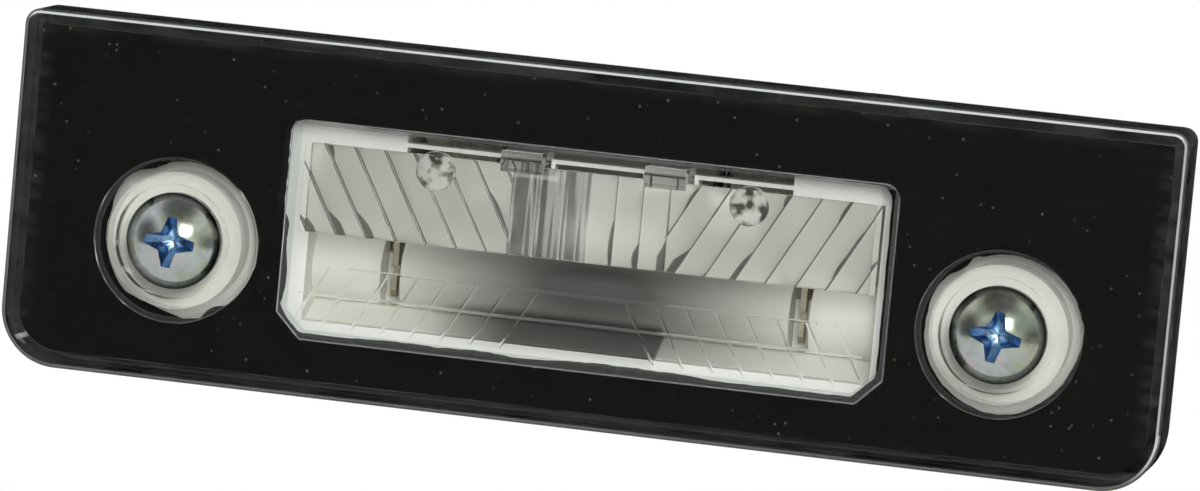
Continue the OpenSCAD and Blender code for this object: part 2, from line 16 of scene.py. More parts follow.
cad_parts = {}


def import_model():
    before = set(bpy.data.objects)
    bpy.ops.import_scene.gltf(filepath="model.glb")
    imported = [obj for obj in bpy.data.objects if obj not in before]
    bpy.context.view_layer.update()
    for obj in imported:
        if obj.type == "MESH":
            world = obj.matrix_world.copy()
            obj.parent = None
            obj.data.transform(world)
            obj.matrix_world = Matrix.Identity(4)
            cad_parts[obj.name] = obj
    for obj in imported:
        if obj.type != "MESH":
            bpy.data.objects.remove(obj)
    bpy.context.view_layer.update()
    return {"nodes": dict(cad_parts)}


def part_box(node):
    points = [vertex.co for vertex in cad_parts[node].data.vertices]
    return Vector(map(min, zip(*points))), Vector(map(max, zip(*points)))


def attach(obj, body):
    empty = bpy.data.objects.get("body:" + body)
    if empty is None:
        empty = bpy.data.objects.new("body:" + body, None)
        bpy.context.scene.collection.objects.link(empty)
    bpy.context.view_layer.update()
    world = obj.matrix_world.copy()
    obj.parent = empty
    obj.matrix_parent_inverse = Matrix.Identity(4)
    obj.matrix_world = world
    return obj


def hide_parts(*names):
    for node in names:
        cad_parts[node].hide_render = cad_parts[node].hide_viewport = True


log = logging.getLogger("plate_lamp")

MM = 0.001
Point = tuple[float, float]
Span = tuple[float, float]
Place = tuple[float, float, float]
Color = tuple[float, float, float]
Grain = tuple[float | Sequence[float], ...]
Socket = bpy.types.NodeSocket
Number = float | Socket
Mesh = bmesh.types.BMesh
Vertex = bmesh.types.BMVert
Box = tuple[Vector, Vector]

NEW_STOP = 0.5
POLE = 1e-9
FEWEST_RING_POINTS = 12
WAVE_SCALE = 0.28
FRAY_SCALE = 1.7
FRAY_SEED = 7


class Side(Enum):
    """End of the lamp, with the sign of its X."""

    LEFT = -1
    RIGHT = 1

    @property
    def word(self) -> str:
        """The side's part of a node's name."""
        return self.name.lower()


# Degrees that the recess of each screw is turned
SCREW_TURNS = {Side.LEFT: -3.7, Side.RIGHT: -6.7}


# Materials


class Recipe:
    """A material's node tree, written one node at a time."""

    def __init__(self, name: str) -> None:
        """Starts an empty tree with one Principled shader.

        Args:
            name: name of the material.
        """
        self.material = bpy.data.materials.new(name)
        self.material.use_nodes = True
        self.tree = self.material.node_tree
        self.tree.nodes.clear()
        self.shader = self.tree.nodes.new("ShaderNodeBsdfPrincipled")
        output = self.tree.nodes.new("ShaderNodeOutputMaterial")
        self.tree.links.new(self.shader.outputs[0], output.inputs[0])

    def set(self, **values: object) -> None:
        """Sets sockets of the shader, named with underscores for spaces.

        Args:
            values: socket values.
        """
        for name, value in values.items():
            self.shader.inputs[name.replace("_", " ")].default_value = value

    def link(self, source: Socket, socket: str) -> None:
        """Joins an output to one of the shader's sockets."""
        self.tree.links.new(source, self.shader.inputs[socket])

    def fill(self, socket: Socket, value: object) -> None:
        """Gives an input a value or the output of another node.

        Args:
            socket: the input.
            value: a value, or an output to join it to.
        """
        if isinstance(value, Socket):
            self.tree.links.new(value, socket)
        else:
            socket.default_value = value

    def node(self, kind: str, **inputs: object) -> bpy.types.Node:
        """Adds a node and fills its inputs with values or links.

        Args:
            kind: Blender's name of the node type.
            inputs: socket values or outputs of other nodes, named with underscores for spaces.

        Returns:
            The new node.
        """
        made = self.tree.nodes.new(kind)
        for name, value in inputs.items():
            self.fill(made.inputs[name.replace("_", " ")], value)
        return made

    def place(self, stretch: Sequence[float] = (1, 1, 1)) -> Socket:
        """Gives the row frame's coordinates in millimetres, stretched along each axis.

        Args:
            stretch: factor along each axis.

        Returns:
            The stretched coordinates.
        """
        coordinates = self.node("ShaderNodeTexCoord")
        scaled = self.tree.nodes.new("ShaderNodeVectorMath")
        scaled.operation = "MULTIPLY"
        self.fill(scaled.inputs[0], coordinates.outputs["Object"])
        self.fill(scaled.inputs[1], [1 / MM * s for s in stretch])
        return scaled.outputs[0]

    def grain(self, scale: float, detail: float = 3, stretch: Sequence[float] = (1, 1, 1)) -> Socket:
        """Gives a noise value whose features measure about 1 / scale millimetres."""
        place = self.place(stretch)
        return self.node("ShaderNodeTexNoise", Vector=place, Scale=scale, Detail=detail).outputs[0]

    def ramp(self, value: Socket, stops: Iterable[tuple[float, Sequence[float]]]) -> Socket:
        """Turns a value into a colour.

        Args:
            value: the value to look up.
            stops: places between 0 and 1, with their colours.

        Returns:
            The colour output.
        """
        wanted = list(stops)
        made = self.tree.nodes.new("ShaderNodeValToRGB")
        elements = made.color_ramp.elements
        while len(elements) < len(wanted):
            elements.new(NEW_STOP)
        for element, (place, color) in zip(elements, wanted):
            element.position = place
            element.color = (*color, 1)
        self.fill(made.inputs[0], value)
        return made.outputs[0]

    def scaled(self, value: Socket, low: float, high: float, to_low: float = 0, to_high: float = 1) -> Socket:
        """Maps a value from one span to another, clamped."""
        limits = {"From Min": low, "From Max": high, "To Min": to_low, "To Max": to_high}
        return self.node("ShaderNodeMapRange", Value=value, **limits).outputs[0]

    def held(self, share: Socket, most: float) -> Socket:
        """A share of 0 to 1, held down to a largest value."""
        return self.scaled(share, 0, 1, 0, most)

    def mixed(self, factor: Socket, first: object, second: object) -> Socket:
        """Mixes two colours by a factor.

        Args:
            factor: share of the second one.
            first: what shows at 0.
            second: what shows at 1.

        Returns:
            The mixed colour.
        """
        made = self.tree.nodes.new("ShaderNodeMix")
        made.data_type = "RGBA"
        self.fill(made.inputs[0], factor)
        for socket, value in ((made.inputs[6], first), (made.inputs[7], second)):
            self.fill(socket, value if isinstance(value, Socket) else (*value, 1))
        return made.outputs[2]

    def mixed_vector(self, factor: Socket, first: Socket, second: Socket) -> Socket:
        """Mixes two vectors by a factor.

        Args:
            factor: share of the second one.
            first: what shows at 0.
            second: what shows at 1.

        Returns:
            The mixed vector.
        """
        made = self.tree.nodes.new("ShaderNodeMix")
        made.data_type = "VECTOR"
        for socket, value in ((made.inputs[0], factor), (made.inputs[4], first), (made.inputs[5], second)):
            self.fill(socket, value)
        return made.outputs[1]

    def math(self, operation: str, *values: Number) -> Socket:
        """Works out a number from numbers or outputs of other nodes.

        Args:
            operation: Blender's name of the operation.
            values: the operation's inputs.

        Returns:
            The result.
        """
        made = self.tree.nodes.new("ShaderNodeMath")
        made.operation = operation
        for socket, value in zip(made.inputs, values):
            self.fill(socket, value)
        return made.outputs[0]

    def less(self, first: Number, second: Number) -> Socket:
        """The first number less the second."""
        return self.math("SUBTRACT", first, second)

    def rest(self, share: Socket) -> Socket:
        """What a share leaves of 1."""
        return self.less(1.0, share)

    def unsigned(self, value: Socket) -> Socket:
        """A value without its sign."""
        return self.math("ABSOLUTE", value)

    def total(self, first: Number, second: Number) -> Socket:
        """Two numbers added up."""
        return self.math("ADD", first, second)

    def product(self, *values: Number) -> Socket:
        """Multiplies any number of values."""
        return reduce(lambda found, value: self.math("MULTIPLY", found, value), values)

    def highest(self, *values: Socket) -> Socket:
        """The largest of any number of values."""
        return reduce(lambda found, value: self.math("MAXIMUM", found, value), values)

    def axes(self, vector: Socket) -> list[Socket]:
        """Takes a vector apart into its three numbers.

        Args:
            vector: the vector.

        Returns:
            Its X, Y and Z.
        """
        made = self.tree.nodes.new("ShaderNodeSeparateXYZ")
        self.fill(made.inputs[0], vector)
        return list(made.outputs)

    def inside(self, value: Socket, low: float, high: float, soft: float = 0.02) -> Socket:
        """Gives 1 where a value lies between two limits and 0 elsewhere, with soft ends.

        Args:
            value: the value.
            low: lower limit.
            high: upper limit.
            soft: half the width of each end.

        Returns:
            The mask.
        """
        above = self.scaled(value, low - soft, low + soft)
        below = self.scaled(value, high + soft, high - soft)
        return self.product(above, below)

    def reach(self, across: Socket, up: Socket) -> Socket:
        """Length of the line that goes so far across and so far up."""
        return self.math("SQRT", self.total(self.product(across, across), self.product(up, up)))

    def relief(self, height: Socket, distance_mm: float, strength: float,
               under: Socket | None = None) -> None:
        """Bumps the surface by a height value.

        Args:
            height: value between 0 and 1.
            distance_mm: height of the relief.
            strength: share of the relief that is used.
            under: normal that the relief is laid over.
        """
        bump = self.node("ShaderNodeBump", Height=height, Distance=distance_mm * MM, Strength=strength)
        if under:
            self.fill(bump.inputs["Normal"], under)
        self.link(bump.outputs[0], "Normal")


@dataclass(frozen=True)
class Finish:
    """What a surface is made of, with a faint mottle. Subclasses add to the plain recipe."""

    name: str
    color: Color
    roughness: float = 0.5
    metallic: float = 0.0
    mottle: Span = (0.9, 1.08)
    mottle_span: Span = (0.35, 0.65)
    mottle_grain: Grain = (0.9,)

    def make(self) -> bpy.types.Material:
        """Builds the material.

        Returns:
            The finished material.
        """
        recipe = Recipe(self.name)
        recipe.set(Base_Color=(*self.color, 1), Roughness=self.roughness, Metallic=self.metallic)
        self.detail(recipe)
        return recipe.material

    def mottled(self, recipe: Recipe) -> Socket:
        """The finish's own colour, darker and lighter by turns."""
        tones = [[c * share for c in self.color] for share in self.mottle]
        return recipe.ramp(recipe.grain(*self.mottle_grain), zip(self.mottle_span, tones))

    def detail(self, recipe: Recipe) -> None:
        """Adds colour variation and relief; the plain finish has the mottle only."""
        recipe.link(self.mottled(recipe), "Base Color")


@dataclass(frozen=True)
class Fillet:
    """Painted light along a pocket's outline: a faint pale band with a painted highlight line at each of its
    edges, in millimetres.
    """

    width: float
    # The body is the faint pale band of painted light; the lines at its edges are painted highlights
    body: float
    line: float
    line_width: float = 0.14
    inner_line: Span = (-0.05, 0.07)
    inner_share: float = 0.6
    body_soft: float = 0.05
    line_soft: float = 0.04

    def painted_light(self, recipe: Recipe, distance: Socket) -> Socket:
        """Gives how strong the painted light along the outline is.

        Args:
            recipe: the lens's recipe.
            distance: distance from the outline, negative inside it.

        Returns:
            The painted light, from 0 to 1.
        """
        inner = [edge - self.width for edge in self.inner_line]
        bands = (((-self.width, 0.0, self.body_soft), self.body),
                 ((-self.line_width, 0.0, self.line_soft), self.line),
                 ((*inner, self.line_soft), self.line * self.inner_share))
        masks = [(recipe.inside(distance, *limits), most) for limits, most in bands]
        return recipe.highest(*[recipe.held(mask, most) for mask, most in masks])


class Spot:
    """A place on the lens, as the nodes of its material see it."""

    def __init__(self, recipe: Recipe, inner_face: float, soft: float, facing_span: Span) -> None:
        """Makes the nodes that tell one place from another.

        Args:
            recipe: the lens's recipe.
            inner_face: place of the pocket's floor along Y, in millimetres.
            soft: width of the change there.
            facing_span: how far a normal points forwards or back where a facet's mask begins and ends.
        """
        self.x, self.y, self.z = recipe.axes(recipe.place())
        self.aside = recipe.unsigned(self.x)
        coordinates = recipe.node("ShaderNodeTexCoord")
        self.rightwards, through, self.upwards = recipe.axes(coordinates.outputs["Normal"])
        self.frontal = recipe.unsigned(through)
        self.facing = recipe.scaled(self.frontal, *facing_span)
        self.behind = recipe.scaled(self.y, inner_face - soft, inner_face + soft)


@dataclass(frozen=True)
class ClearMoulding(Finish):
    """Clear moulded plastic: matt flutes with painted shadows, highlights and reflections, painted light
    round the pockets, on the boss walls and lugs and as a highlight on the front edge, and painted shade on
    the skirt.

    Lengths and places are in millimetres of the row's frame.
    """

    ior: float = 1.49
    soft: float = 0.05
    inner_face: float = -6.0
    facing_span: Span = (0.8, 0.85)

    # The fluted strip: its place, its flutes and the painted shadows and painted highlight lines along them
    strip_x: Span = (-24.1, 24.1)
    strip_z: Span = (2.0, 9.4)
    bank_half: float = 6.6
    flute_pitch: float = 2.2
    flute_lean: float = 29.0
    left_flutes_out: float = 0.9
    shadow_grain: Grain = (0.21, 0)
    shadow_span: Span = (0.6, 0.76)
    shadow_width: Span = (0.08, 0.34)
    shadow_edge: Span = (0.99, 1.03)
    shadow_most: float = 0.85
    root_edge: Span = (0.08, 0.04)
    root_most: float = 0.8
    line_free: Span = (0.2, 0.1)
    step_shade_grain: Grain = (0.3, 3)
    step_shade_span: Span = (0.42, 0.56)
    step_shade_share: Span = (0.35, 1)

    # The polished flutes left of the middle, with streaks of painted reflection
    polished_x: Span = (-6.62, 0.0)
    polish_grain: Grain = (1.1, 1, (1, 1, 0.04))
    polish_span: Span = (0.42, 0.58)
    polish_share: Span = (0.5, 0.05)
    painted_reflection_stops: tuple[float, ...] = (0.43, 0.47, 0.53, 0.6)

    # The two ejector marks, blotched with painted shade and painted highlights
    ejector_x: float = 13.1
    ejector_z: float = 8.1
    ejector_r: float = 1.62
    ejector_soft: float = 0.03
    blot_grain: Grain = (0.8, 2)
    blot_stops: tuple[float, ...] = (0.4, 0.5, 0.57)

    # The two lugs: their tops and, above a line, their rear ends, which get painted light
    lug_x: Span = (4.2, 7.8)
    lug_z: Span = (10.3, 10.6)
    lug_end: Span = (-1.1, -0.7)
    lug_split: Span = (9.5, 9.75)
    lug_upward: Span = (0.8, 0.9)

    # The outlines of the window and of the rings round the screws, with bands of painted light inside them
    window_half: float = 25.4
    window_top: float = 11.15
    window_bottom: float = -7.0
    window_slant: float = 30.3
    window_margin: float = 0.2
    window_fillet: Fillet = Fillet(0.8, 0.1, 0.3)
    screw_x: float = 34.5
    ring_r: float = 6.9
    ring_fillet: Fillet = Fillet(0.5, 0.05, 0.16)
    ring_turn: Span = (-2.0, 5.0)
    narrower: float = 2.4
    floor_depth: float = 0.4
    painted_light_soft: float = 0.02

    # The outer walls of the screw bosses, which get painted light
    boss_r: float = 5.7
    boss_half: float = 0.1
    boss_turn: Span = (0.4, 0.3)
    boss_most: float = 0.9

    # The painted highlight on the rounded front edge, by how its surface is turned
    edge_highlight_to: float = -7.28
    edge_highlight_soft: float = 0.08
    edge_highlight_turns: tuple[Span, Span] = ((0.3, 0.4), (0.95, 0.85))
    lit_turn: Span = (0.3, 0.6)
    lit_upwards: Span = (0.08, 0.8)
    lit_rightwards: Span = (0, 0.5)

    # The skirt, with painted shade: darker and cloudier in streaks
    front_edge: float = -6.95
    front_margin: float = 0.1
    skirt_x: float = 47.2
    skirt_z: Span = (-10.3, 16.7)
    skirt_soft: float = 0.08
    skirt_shade_grain: Grain = (0.8, 3, (0.3, 1, 1))
    skirt_shade_span: Span = (0.35, 0.65)
    skirt_shade_share: Span = (0.03, 0.22)

    # Colours, and how matt each place is
    facet: Color = (0.86, 0.88, 0.79)
    # Colour of the painted shade and painted shadows
    shaded: Color = (0.07, 0.065, 0.055)
    # Colour of the painted highlights
    glint: Color = (0.97, 0.97, 0.93)
    # Colour of the painted light along the pockets' outlines and of the painted highlight on the front edge
    painted_light: Color = (0.66, 0.7, 0.69)
    # Painted shade on the skirt, and the darkest streaks of the painted reflection
    painted_dark_grey: Color = (0.3, 0.29, 0.28)
    facet_roughness: float = 0.32
    facet_matt: float = 0.66
    step_matt: float = 0.85
    lug_matt: float = 0.95

    # Rounding and waves of the surface
    edge_round: float = 0.12
    wave_grain: Grain = (0.35, 2)
    wave_height: float = 0.02
    wave_strength: float = 0.25

    def on_ejectors(self, recipe: Recipe, spot: Spot) -> Socket:
        """Gives 1 on the two ejector discs and 0 elsewhere."""
        away = recipe.reach(recipe.less(spot.aside, self.ejector_x), recipe.less(spot.z, self.ejector_z))
        return recipe.scaled(away, self.ejector_r + self.ejector_soft, self.ejector_r)

    def flute_share(self, recipe: Recipe, spot: Spot) -> Socket:
        """Gives how far across its flute a place lies, from 0 at the root to 1 at the step.

        Args:
            recipe: the lens's recipe.
            spot: the place on the lens.

        Returns:
            The share.
        """
        low, high = self.strip_z
        slope = math.tan(math.radians(self.flute_lean))
        start = self.bank_half - (high - low) * slope / 2
        lean = recipe.product(recipe.less(spot.z, (low + high) / 2), slope)
        further = recipe.product(recipe.math("LESS_THAN", spot.x, 0.0), self.left_flutes_out)
        across = recipe.less(recipe.less(spot.aside, start), recipe.total(lean, further))
        leaning = recipe.math("DIVIDE", across, self.flute_pitch / math.cos(math.radians(self.flute_lean)))
        upright = recipe.math("DIVIDE", spot.aside, self.flute_pitch)
        in_middle = recipe.math("LESS_THAN", spot.aside, self.bank_half)
        outer = recipe.product(recipe.rest(in_middle), leaning)
        return recipe.math("FRACT", recipe.total(recipe.product(in_middle, upright), outer))

    def flute_color(self, recipe: Recipe, spot: Spot, streaks: Socket) -> Socket:
        """Colours the strip: pale facets with a painted shadow at their steps and a painted highlight line at
        their roots, blots on the ejector marks and painted reflections in the polished flutes.

        Args:
            recipe: the lens's recipe.
            spot: the place on the lens.
            streaks: grain that the polished flutes show as a painted reflection.

        Returns:
            The strip's colour.
        """
        share = self.flute_share(recipe, spot)
        width = recipe.scaled(recipe.grain(*self.shadow_grain), *self.shadow_span, *self.shadow_width)
        # Painted shadow along each step and a painted highlight line at each root
        shadow = recipe.scaled(recipe.total(share, width), *self.shadow_edge, 0, self.shadow_most)
        root = recipe.scaled(share, *self.root_edge, 0, self.root_most)
        painted = recipe.mixed(root, recipe.mixed(shadow, self.facet, self.shaded), self.glint)
        # Blots of painted shade and painted highlight on the ejector marks
        blots = recipe.ramp(recipe.grain(*self.blot_grain),
                            zip(self.blot_stops, (self.shaded, self.facet, self.glint)))
        painted = recipe.mixed(self.on_ejectors(recipe, spot), painted, blots)
        # Painted reflection in the polished flutes, in dark, pale and bright streaks
        painted_reflection = recipe.ramp(streaks, zip(self.painted_reflection_stops,
                                            (self.shaded, self.facet, self.glint, self.painted_dark_grey)))
        clear_of_lines = recipe.scaled(recipe.total(root, shadow), *self.line_free)
        return recipe.mixed(recipe.product(recipe.inside(spot.x, *self.polished_x), clear_of_lines),
                            painted, painted_reflection)

    def pocket_painted_light(self, recipe: Recipe, spot: Spot) -> Socket:
        """Gives the painted light in the bands that run inside the outlines of the window and of the two
        rings.

        Args:
            recipe: the lens's recipe.
            spot: the place on the lens.

        Returns:
            The painted light, from 0 to 1.
        """
        slanted = recipe.less(recipe.less(spot.aside, spot.z), self.window_slant)
        window = recipe.highest(recipe.product(recipe.less(spot.x, self.window_half), self.narrower),
                                recipe.product(recipe.less(spot.z, self.window_top), self.narrower),
                                recipe.less(-self.window_half, spot.x),
                                recipe.less(self.window_bottom, spot.z),
                                recipe.math("DIVIDE", slanted, math.sqrt(2)))
        across = recipe.less(spot.aside, self.screw_x)
        rightwards = recipe.product(across, recipe.math("SIGN", spot.x))
        squeeze = recipe.scaled(recipe.total(rightwards, spot.z), *self.ring_turn, 1.0, self.narrower)
        ring = recipe.product(recipe.less(recipe.reach(across, spot.z), self.ring_r), squeeze)
        floor = recipe.inside(spot.y, self.inner_face, self.inner_face + self.floor_depth)
        painted_light = recipe.highest(self.window_fillet.painted_light(recipe, window), self.ring_fillet.painted_light(recipe, ring))
        return recipe.product(painted_light, floor, spot.facing)

    def lugs(self, recipe: Recipe, spot: Spot) -> Socket:
        """Gives 1 on the tops and the rear ends of the two lugs, which are painted pale as painted light.

        Args:
            recipe: the lens's recipe.
            spot: the place on the lens.

        Returns:
            The mask.
        """
        tops = recipe.product(recipe.inside(spot.z, *self.lug_z, self.soft), spot.behind,
                              recipe.scaled(spot.upwards, *self.lug_upward))
        ends = recipe.product(recipe.inside(spot.y, *self.lug_end, self.soft),
                              recipe.scaled(spot.z, *self.lug_split), spot.facing)
        return recipe.product(recipe.highest(tops, ends), recipe.inside(spot.aside, *self.lug_x))

    def boss_walls(self, recipe: Recipe, spot: Spot) -> Socket:
        """Gives how much painted light the outer walls of the two screw bosses get.

        Args:
            recipe: the lens's recipe.
            spot: the place on the lens.

        Returns:
            The painted light, from 0 to 1.
        """
        away = recipe.reach(recipe.less(spot.aside, self.screw_x), spot.z)
        wall = recipe.inside(away, self.boss_r - self.boss_half, self.boss_r + self.boss_half)
        sideways = recipe.scaled(spot.frontal, *self.boss_turn, 0, self.boss_most)
        return recipe.product(wall, spot.behind, sideways)

    def painted_edge_highlight(self, recipe: Recipe, spot: Spot) -> Socket:
        """Gives the painted highlight on the rounded front edge, most where it faces up or right.

        Args:
            recipe: the lens's recipe.
            spot: the place on the lens.

        Returns:
            The painted highlight, from 0 to 1.
        """
        slanted = [recipe.scaled(spot.frontal, *turn) for turn in self.edge_highlight_turns]
        front = recipe.scaled(spot.y, self.edge_highlight_to, self.edge_highlight_to - self.edge_highlight_soft)
        lit = recipe.highest(recipe.scaled(spot.upwards, *self.lit_turn, *self.lit_upwards),
                             recipe.scaled(spot.rightwards, *self.lit_turn, *self.lit_rightwards))
        return recipe.product(*slanted, front, lit)

    def skirt(self, recipe: Recipe, spot: Spot) -> Socket:
        """Gives 1 on the outside of the skirt, behind the rounded front edge.

        Args:
            recipe: the lens's recipe.
            spot: the place on the lens.

        Returns:
            The mask.
        """
        bottom, top = self.skirt_z
        out = recipe.highest(recipe.less(spot.aside, self.skirt_x), recipe.less(spot.z, top),
                             recipe.less(bottom, spot.z))
        behind = recipe.scaled(spot.y, self.front_edge - self.soft, self.front_edge)
        return recipe.product(recipe.scaled(out, 0, self.skirt_soft), behind)

    def surface_relief(self, recipe: Recipe, spot: Spot) -> None:
        """Rounds the window's edges and the front edge in the shading, and adds faint waves.

        Args:
            recipe: the lens's recipe.
            spot: the place on the lens.
        """
        margin = self.window_margin
        rounded = recipe.node("ShaderNodeBevel", Radius=self.edge_round * MM)
        window = recipe.product(recipe.inside(spot.aside, -margin, self.window_half + margin),
                                recipe.inside(spot.z, self.window_bottom - margin, self.window_top + margin))
        front = recipe.scaled(spot.y, self.front_edge + self.front_margin, self.front_edge)
        flat = recipe.node("ShaderNodeNewGeometry").outputs["Normal"]
        under = recipe.mixed_vector(recipe.highest(window, front), flat, rounded.outputs[0])
        recipe.relief(recipe.grain(*self.wave_grain), self.wave_height, self.wave_strength, under)

    def detail(self, recipe: Recipe) -> None:
        """Makes the plastic see-through, then paints its matt places, its painted light and its painted
        shade.

        Args:
            recipe: the recipe that gets the nodes.
        """
        recipe.set(IOR=self.ior)
        spot = Spot(recipe, self.inner_face, self.soft, self.facing_span)
        strip = recipe.product(recipe.inside(spot.x, *self.strip_x), recipe.inside(spot.z, *self.strip_z),
                               spot.behind)
        streaks = recipe.grain(*self.polish_grain)
        polished = recipe.product(recipe.inside(spot.x, *self.polished_x),
                                  recipe.scaled(streaks, *self.polish_span, *self.polish_share))
        facets = recipe.product(strip, spot.facing, recipe.rest(polished))
        # Painted shade on the flutes' step faces, in patches
        step_shade = recipe.scaled(recipe.grain(*self.step_shade_grain), *self.step_shade_span, *self.step_shade_share)
        steps = recipe.product(strip, recipe.rest(spot.facing), step_shade)
        lugs = self.lugs(recipe, spot)
        # Painted light along the pockets' outlines, kept off the facets
        painted_light = recipe.product(self.pocket_painted_light(recipe, spot), recipe.rest(facets))
        boss = self.boss_walls(recipe, spot)
        painted_edge_light = self.painted_edge_highlight(recipe, spot)
        skirt = self.skirt(recipe, spot)

        # Painted shade: the skirt darker grey
        color = recipe.mixed(skirt, self.color, self.painted_dark_grey)
        # Painted light along the pockets' outlines and a painted highlight on the front edge
        painted_light_share = recipe.scaled(recipe.highest(painted_light, painted_edge_light), 0, self.painted_light_soft)
        color = recipe.mixed(painted_light_share, color, self.painted_light)
        # Painted light: the boss walls and the lugs in the highlight colour
        color = recipe.mixed(recipe.highest(boss, lugs), color, self.glint)
        color = recipe.mixed(facets, color, self.flute_color(recipe, spot, streaks))
        # Painted shade: the step faces take the shade colour
        recipe.link(recipe.mixed(steps, color, self.shaded), "Base Color")
        matt = recipe.highest(facets, lugs)
        recipe.link(recipe.scaled(matt, 0, 1, self.roughness, self.facet_roughness), "Roughness")
        # Painted shade on the skirt: cloudier in streaks
        skirt_shade_cloud = recipe.product(skirt, recipe.scaled(recipe.grain(*self.skirt_shade_grain),
                                                    *self.skirt_shade_span, *self.skirt_shade_share))
        cloudy = recipe.highest(recipe.held(matt, self.facet_matt), recipe.held(steps, self.step_matt),
                                painted_light, painted_edge_light, skirt_shade_cloud, boss, recipe.held(lugs, self.lug_matt))
        recipe.link(recipe.rest(cloudy), "Transmission Weight")
        self.surface_relief(recipe, spot)


@dataclass(frozen=True)
class Foam(Finish):
    """Closed-cell foam with pores, dust and a lighter band of painted light along its edges. Places are in
    millimetres.
    """

    specular: float = 0.08
    pore_scale: float = 3.2
    pore_height: float = 0.05
    pore_strength: float = 0.5
    dust: Color = (0.15, 0.13, 0.1)
    speck_scale: float = 0.9
    speck_size: Span = (0.12, 0.06)
    patch_grain: Grain = (0.5, 4)
    patch_span: Span = (0.45, 0.55)
    # Painted light: a lighter, streaky band along the ends and the top
    painted_edge_light: Color = (0.022, 0.021, 0.019)
    edge_light_x: Span = (45.9, 46.9)
    edge_light_z: Span = (15.9, 16.9)
    edge_light_grain: Grain = (1.2, 4, (0.25, 1, 1))
    edge_light_span: Span = (0.4, 0.65)

    def detail(self, recipe: Recipe) -> None:
        """Adds pores as relief, a lighter band of painted light at the edges and dust as sparse light specks.

        Args:
            recipe: the recipe that gets the nodes.
        """
        recipe.set(Specular_IOR_Level=self.specular)
        pores = recipe.node("ShaderNodeTexVoronoi", Vector=recipe.place(), Scale=self.pore_scale)
        recipe.relief(pores.outputs["Distance"], self.pore_height, self.pore_strength)
        specks = recipe.node("ShaderNodeTexVoronoi", Vector=recipe.place(), Scale=self.speck_scale)
        sparse = recipe.scaled(specks.outputs["Distance"], *self.speck_size)
        patch = recipe.scaled(recipe.grain(*self.patch_grain), *self.patch_span)
        x, _, z = recipe.axes(recipe.place())
        # Painted light: the band along the ends and the top, in streaks
        ends, top = recipe.scaled(recipe.unsigned(x), *self.edge_light_x), recipe.scaled(z, *self.edge_light_z)
        streaks = recipe.product(recipe.highest(ends, top),
                                 recipe.scaled(recipe.grain(*self.edge_light_grain), *self.edge_light_span))
        painted_edge_light = recipe.mixed(streaks, self.color, self.painted_edge_light)
        recipe.link(recipe.mixed(recipe.product(sparse, patch), painted_edge_light, self.dust), "Base Color")


